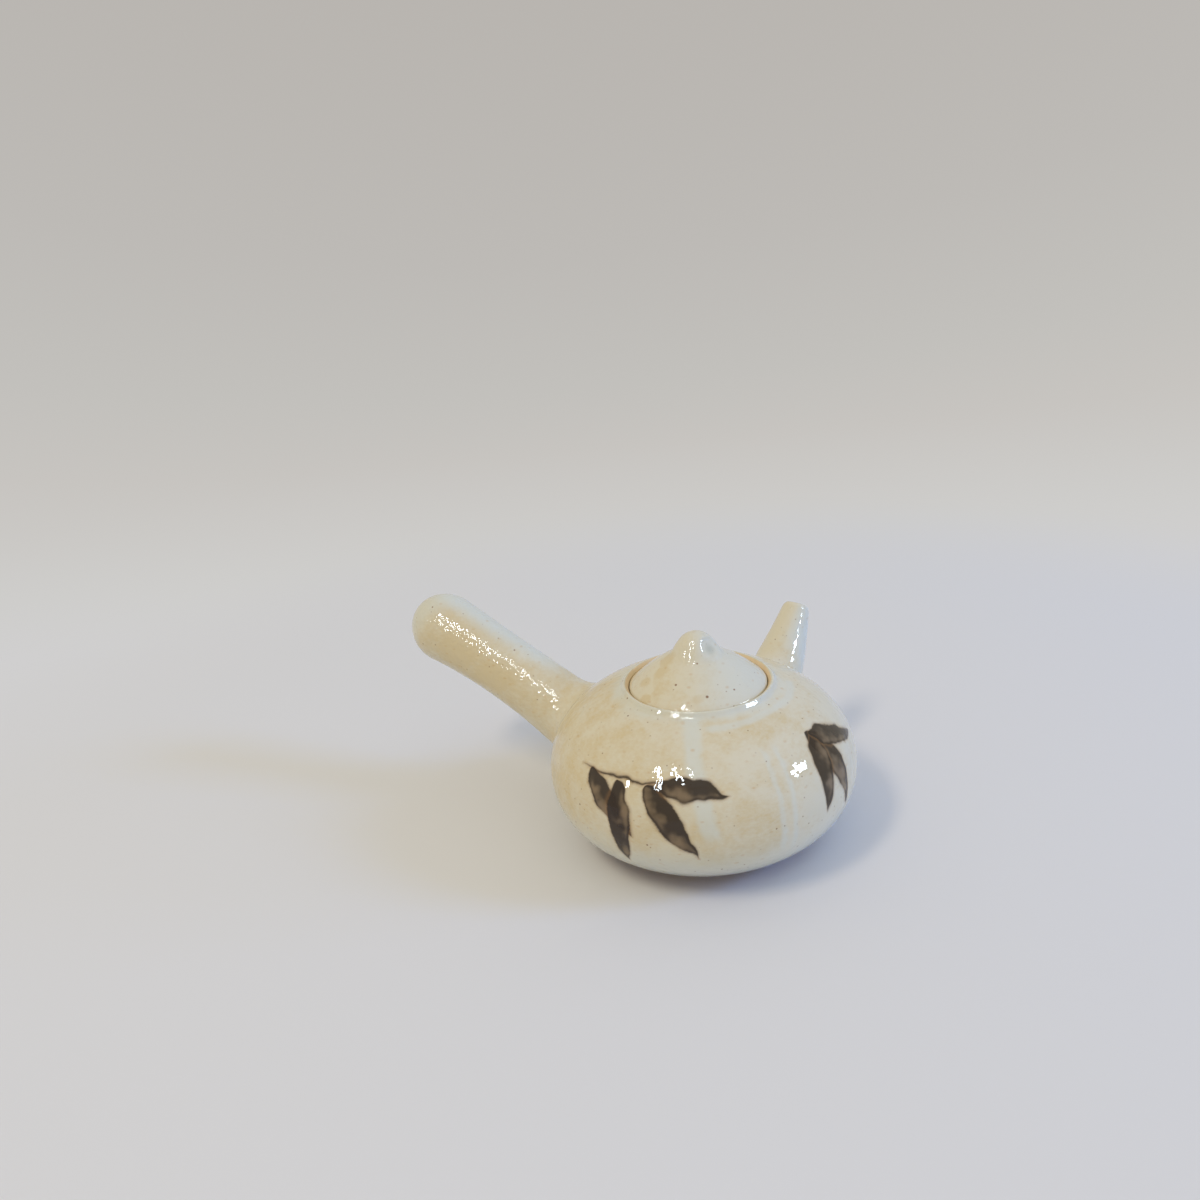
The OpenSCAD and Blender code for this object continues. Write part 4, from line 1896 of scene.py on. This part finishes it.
@dataclass(frozen=True)
class Studio:
    """Pale table with a sweep behind it, soft windows, and the camera at the photograph's place."""

    target: Vector
    look_azimuth: float = 39.0
    look_down: float = 20.72
    roll: float = -5.05
    depth: float = 0.38005
    focal_px: float = 1100.0
    picture_px: float = 1200.0
    target_px: tuple[float, float] = (701.94, 757.78)
    sensor: float = 36.0
    table_r: float = 0.62
    sweep_r: float = 0.5
    wall_top: float = 1.0
    table: Colour = screen(222, 223, 225)
    ambient: Colour = (0.62, 0.605, 0.558, 1.0)
    horizon_light: float = 0.92

    def place_camera(self) -> None:
        """Places the camera where the photograph was taken."""
        az, el, roll = (math.radians(d) for d in (self.look_azimuth, self.look_down, self.roll))
        look = Vector((math.cos(el) * math.cos(az), math.cos(el) * math.sin(az), -math.sin(el)))
        level = Vector((math.sin(az), -math.cos(az), 0.0))
        upright = level.cross(look)
        right = math.cos(roll) * level + math.sin(roll) * upright
        up = math.cos(roll) * upright - math.sin(roll) * level
        middle = self.picture_px / 2
        aside = (self.target_px[0] - middle) / self.focal_px
        above = (middle - self.target_px[1]) / self.focal_px
        place = self.target - self.depth * (look + aside * right + above * up)
        data = bpy.data.cameras.new("photo_camera")
        data.sensor_width = self.sensor
        data.lens = self.focal_px / self.picture_px * self.sensor
        data.clip_start = 0.01
        camera = bpy.data.objects.new("photo_camera", data)
        camera.matrix_world = Matrix.Translation(place) @ Matrix((right, up, -look)).transposed().to_4x4()
        bpy.context.scene.collection.objects.link(camera)
        bpy.context.scene.camera = camera

    def light(self) -> None:
        """Hangs the cool window at the right, the warm panes at the left and the room's soft light."""
        cool, warm = (0.2, 0.42, 1.0), (1.0, 0.83, 0.6)
        sky, day = (0.68, 0.85, 1.0), (0.86, 0.95, 1.0)
        mirrored = WindowKind.MIRRORED
        windows = (
            SoftWindow("cool_window", -64.0, 27.5, 0.42, 0.38, 25.0, cool, -25.0),
            SoftWindow("cool_sill", -58.0, 9.0, 0.5, 0.3, 15.0, cool),
            SoftWindow("warm_window", 168.0, 55.0, 0.28, 0.6, 18.0, warm, 35.0),
            SoftWindow("cool_glint", -64.0, 28.5, 0.45, 0.34, 34.0, sky, -25.0, mirrored),
            SoftWindow("far_glint", 150.0, 32.5, 0.08, 0.3, 46.0, day, 30.0, mirrored),
            SoftWindow("middle_glint", 168.0, 50.0, 0.045, 1.0, 46.0, day, 27.0, mirrored),
            SoftWindow("right_glint", 184.0, 60.0, 0.055, 0.7, 46.0, day, 37.0, mirrored),
            SoftWindow("end_glint", 198.0, 65.0, 0.03, 0.35, 46.0, day, 35.0, mirrored),
        )
        for window in windows:
            window.hang(self.target)
        world = bpy.data.worlds.new("room_light")
        world.use_nodes = True
        bpy.context.scene.world = world
        graph = Graph(world.node_tree)
        way = graph.node("ShaderNodeTexCoord").outputs["Generated"]
        above = graph.axes(way)[2].clamped()
        glow = self.horizon_light + (1.0 - self.horizon_light) * 1.5 * above
        sky = graph.node("ShaderNodeBackground", None, {"Color": self.ambient, "Strength": glow})
        graph.surface(sky.outputs[0], "ShaderNodeOutputWorld")

    def lay_table(self) -> None:
        """Lays the pale table and the sweep that rises behind it on every side."""
        steps = 96
        disc = bmesh.new()
        bmesh.ops.create_circle(disc, cap_ends=True, segments=steps, radius=self.table_r)
        table = self._stage_object(disc, "table_top", self._backdrop_material("table_paper", True))
        outline = arc((self.table_r, self.sweep_r), self.sweep_r, -90, 0, 24)
        outline.append((self.table_r + self.sweep_r, self.wall_top))
        sweep = bmesh.new()
        verts = [sweep.verts.new((r, 0.0, z)) for r, z in outline]
        edges = [sweep.edges.new(pair) for pair in zip(verts, verts[1:])]
        bmesh.ops.spin(sweep, geom=verts + edges, axis=(0, 0, 1), cent=(0, 0, 0), angle=math.tau, steps=steps,
                       use_merge=True)
        wall = self._stage_object(sweep, "paper_sweep", self._backdrop_material("sweep_paper", False))
        wall.visible_diffuse = False
        wall.visible_glossy = False
        wall.visible_shadow = False

    @staticmethod
    def _stage_object(work: bmesh.types.BMesh, name: str, material: Material) -> Piece:
        """Makes a stage object from a bmesh in metres.

        Args:
            work: Finished bmesh, which is freed.
            name: Name of the object.
            material: Its material.

        Returns:
            The object, linked to the scene.
        """
        mesh = bpy.data.meshes.new(name)
        for face in work.faces:
            face.smooth = True
        work.to_mesh(mesh)
        work.free()
        mesh.materials.append(material)
        made = bpy.data.objects.new(name, mesh)
        bpy.context.scene.collection.objects.link(made)
        return made

    def _backdrop_material(self, name: str, is_table: bool) -> Material:
        """Builds the paper: lit near the pot, and shaded evenly into the background further away.

        Args:
            name: Name of the material.
            is_table: True for the table, which catches the pot's shadow.

        Returns:
            The material.
        """
        material, graph = new_material(name)
        place = graph.place_mm()
        x, y, z = graph.axes(place)
        span = 2000.0
        turn = math.radians(self.look_azimuth)
        away = graph.along(place, Vector((math.cos(turn), math.sin(turn), 0.0)), Vector())
        path = (away + z) / span
        stops = (
            (0.11, screen(208, 207, 207)),
            (0.16, screen(206, 205, 203)),
            (0.22, screen(203, 201, 198)),
            (0.3, screen(199, 196, 192)),
            (0.4, screen(194, 192, 188)),
            (0.55, screen(189, 186, 182)),
            (0.8, screen(184, 180, 175)),
        )
        shade = graph.node("ShaderNodeValToRGB", {"stops": stops}, {"Fac": path})
        glow = graph.node("ShaderNodeEmission", None, {"Color": shade.outputs["Color"], "Strength": 1.0})
        if not is_table:
            graph.surface(glow.outputs[0])
            return material
        ray = graph.node("ShaderNodeLightPath")
        seen = Value(graph, ray.outputs["Is Camera Ray"]) + Value(graph, ray.outputs["Is Glossy Ray"])
        seen = seen + Value(graph, ray.outputs["Is Transmission Ray"])
        far = (x * x + y * y).ramp(240.0**2, 420.0**2) * seen.clamped()
        paper = graph.node("ShaderNodeBsdfDiffuse", None, {"Color": self.table})
        mixed = graph.node("ShaderNodeMixShader", None, {0: far, 1: paper.outputs[0], 2: glow.outputs[0]})
        graph.surface(mixed.outputs[0])
        return material


@dataclass
class Teapot:
    """The whole teapot: its pieces and their finishes."""

    form: PotForm = field(default_factory=PotForm.from_frame)
    drift: HandDrift = HandDrift()

    def front_spray(self) -> LeafSpray:
        """Paints the sprig of leaves on the front of the belly."""
        return LeafSpray(188.0, 34.0, (
            BrushLeaf((-23.0, 10.5), -6.0, 44.0, 1.7, 4.0, 0.9),
            BrushLeaf((-18.0, 10.0), -50.0, 26.0, 8.4, 3.0, 0.95, 1.0),
            BrushLeaf((-7.0, 8.5), -76.0, 27.0, 9.4, -3.0, 0.96, -1.0),
            BrushLeaf((3.0, 8.5), -46.0, 27.0, 9.4, -2.0, 0.96, 1.0),
            BrushLeaf((7.0, 8.5), 6.0, 21.0, 7.6, -2.0, 0.95, 1.0),
        ))

    def side_spray(self) -> LeafSpray:
        """Paints the smaller sprig on the side under the spout."""
        return LeafSpray(272.0, 37.0, (
            BrushLeaf((-4.0, 14.0), -70.0, 30.0, 9.6, -4.0, 0.96, 1.0),
            BrushLeaf((-2.0, 12.0), -116.0, 25.0, 8.4, 3.0, 0.95, -1.0),
            BrushLeaf((-3.0, 12.5), -30.0, 25.0, 8.2, 3.0, 0.95, 1.0),
        ))

    def pot_glazes(self) -> tuple[Material, Material]:
        """Mixes the glazes of the pot.

        Returns:
            The body's glaze with its sprigs, and the collar's glaze, which leaves the inside bare.
        """
        runs = (
            GlazeRun(208.0, 56.0, 27.0, 5.4, 8.0, 0.75, 1.4),
            GlazeRun(241.0, 48.0, 18.0, 1.8, 0.0, 0.5),
            GlazeRun(247.0, 48.0, 18.0, 1.6, -2.0, 0.5),
        )
        bands = (GlazeBand(214.0, 310.0, 31.0, 2.6, 0.65),)
        sprays = (self.front_spray(), self.side_spray())
        # The body's lowest band is bare clay darkened as painted contact shadow.
        body = AshGlaze("pot_glaze", self.form, sprays, runs, bands=bands, collar_r=27.0, shaded_bare_below=5.4)
        collar = AshGlaze("collar_glaze", self.form, runs=runs, bare_inside=24.4, collar_r=27.0)
        return body.material(), collar.material()

    def handle_glaze(self, tube: HandleTube) -> Material:
        """Mixes the handle's glaze, worn where it is held.

        Args:
            tube: The handle's form.

        Returns:
            The material.
        """
        worn = (Blot((-21.0, 92.0, 57.0), 10.0, 0.4), Blot((-18.5, 75.5, 49.0), 10.0, 0.35))
        pale = self._handle_flanks(tube)
        glaze = AshGlaze("handle_glaze", self.form, blots=worn, flanks=pale, ochre_bias=-0.2, peel=1.6,
                         peel_size=1.6, limb=(50.0, 70.0))
        return glaze.material()

    def spout_glaze(self) -> Material:
        """Mixes the spout's glaze, pale on the side away from the handle.

        Returns:
            The material.
        """
        pale = ThickFlank(Vector((0.0, -1.0, 0.0)), Vector(), 1.0, 6.0)
        glaze = AshGlaze("spout_glaze", self.form, flanks=(pale,), ochre_bias=-0.25, peel=0.9, waves=1.6,
                         limb=(50.0, 62.0))
        return glaze.material()

    def lid_glaze(self) -> Material:
        """Mixes the glaze of the lid and its knob, with painted shade in the thumb dent and a pale side that
        is partly painted cool light.

        Returns:
            The material.
        """
        specks = (((-14.2, -12.8, 58.4), 0.7), ((-15.8, -2.1, 61.0), 0.5))
        blots = (
            Blot((-21.1, 6.8, 55.9), 3.0, 0.8),
            Blot((-15.1, 10.7, 59.0), 3.0, 0.5),
            Blot((-12.4, 6.3, 62.4), 3.6, 0.55),
            Blot((-7.5, 6.5, 65.5), 4.8, 0.65),
            Blot((-16.5, -10.5, 57.4), 2.6, 0.35),
            Blot((-18.2, 6.6, 58.3), 3.0, -0.3),
            Blot((-20.4, -0.7, 57.3), 3.4, -0.25),
        )
        # Paler towards the cool window: partly real thick glaze and partly painted cool light.
        right = ThickFlank(Vector((0.629, -0.777, 0.0)), Vector(), -9.0, 9.0, 0.55)
        # Painted shade in the hollow of the thumb dent.
        dent_shade_spots = (Blot((-0.8, -5.5, 68.0), 3.4, 0.6),)
        glaze = AshGlaze("lid_glaze", self.form, specks=specks, flanks=(right,), blots=blots, dent_shade_spots=dent_shade_spots,
                         ochre_bias=-0.28)
        return glaze.material()

    def build(self) -> None:
        """Makes every finish and every piece."""
        form, drift = self.form, self.drift
        lip_z = box_mm("lid_seat")[1].z
        pot_glaze, collar_glaze = self.pot_glazes()
        spout_glaze, lid_glaze = self.spout_glaze(), self.lid_glaze()
        tube = HandleTube(form)
        handle_glaze = self.handle_glaze(tube)
        inside, clay = InsideGlaze("inside_glaze_coat").material(), BareClay("fired_clay").material()
        spout = Spout(SpoutTube(form, lip_z), drift)
        pot = Pot(form, drift, box_mm("foot_ring")[1].x, lip_z=lip_z)
        pot.build_body(spout.wall_hole(), pot_glaze, inside)
        pot.build_foot(clay)
        pot.build_seat(collar_glaze)
        spout.build(spout_glaze)
        spout.build_seam(spout_glaze)
        handle = Handle(tube, drift)
        handle.build(handle_glaze)
        handle.build_seam(handle_glaze)
        lid = Lid.from_frame(drift)
        lid.build_lid(lid_glaze)
        lid.build_flange(clay)
        lid.build_knob(lid_glaze)
        self._glaze_strainer(inside)

    @staticmethod
    def _handle_flanks(tube: HandleTube) -> tuple[ThickFlank, ThickFlank]:
        """Lays the pale glaze along the top and the far side of the handle, and over its round end.

        Args:
            tube: The handle's form.

        Returns:
            The long flank and the flank of the end.
        """
        turn, level = math.radians(tube.turn), math.cos(tube.tilt)
        across = Vector((math.sin(turn), -math.cos(turn), 0.0))
        along = Vector((level * math.cos(turn), level * math.sin(turn), math.sin(tube.tilt)))
        upward = across.cross(along)
        spun = Matrix.Rotation(turn, 3, "Z")
        far = (0.7 * upward + 0.7 * across).normalized()
        tip = (along + 0.2 * upward).normalized()
        long_flank = ThickFlank(far, spun @ tube.axis(0.5), 3.0, 10.0, 0.95)
        return long_flank, ThickFlank(tip, spun @ tube.axis(tube.dome_start), 0.0, 9.0, 0.7)

    @staticmethod
    def _glaze_strainer(inside: Material) -> None:
        """Gives the pierced strainer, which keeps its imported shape, the inside glaze.

        Args:
            inside: Glaze of the inside.
        """
        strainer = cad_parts["strainer"]
        strainer.data.materials.clear()
        strainer.data.materials.append(inside)
        LOG.info("strainer: %d faces, as packed", len(strainer.data.polygons))


def main() -> None:
    """Builds the camera, the studio and the teapot."""
    logging.basicConfig(level=logging.INFO, format="%(name)s: %(message)s")
    bpy.context.scene.view_settings.view_transform = "Standard"
    teapot = Teapot()
    teapot.drift.settle()
    studio = Studio(Vector((0.0, 0.0, teapot.form.belly_z * MM)))
    studio.place_camera()
    studio.light()
    studio.lay_table()
    teapot.build()
    bpy.context.view_layer.update()


if __name__ == "__main__":
    main()
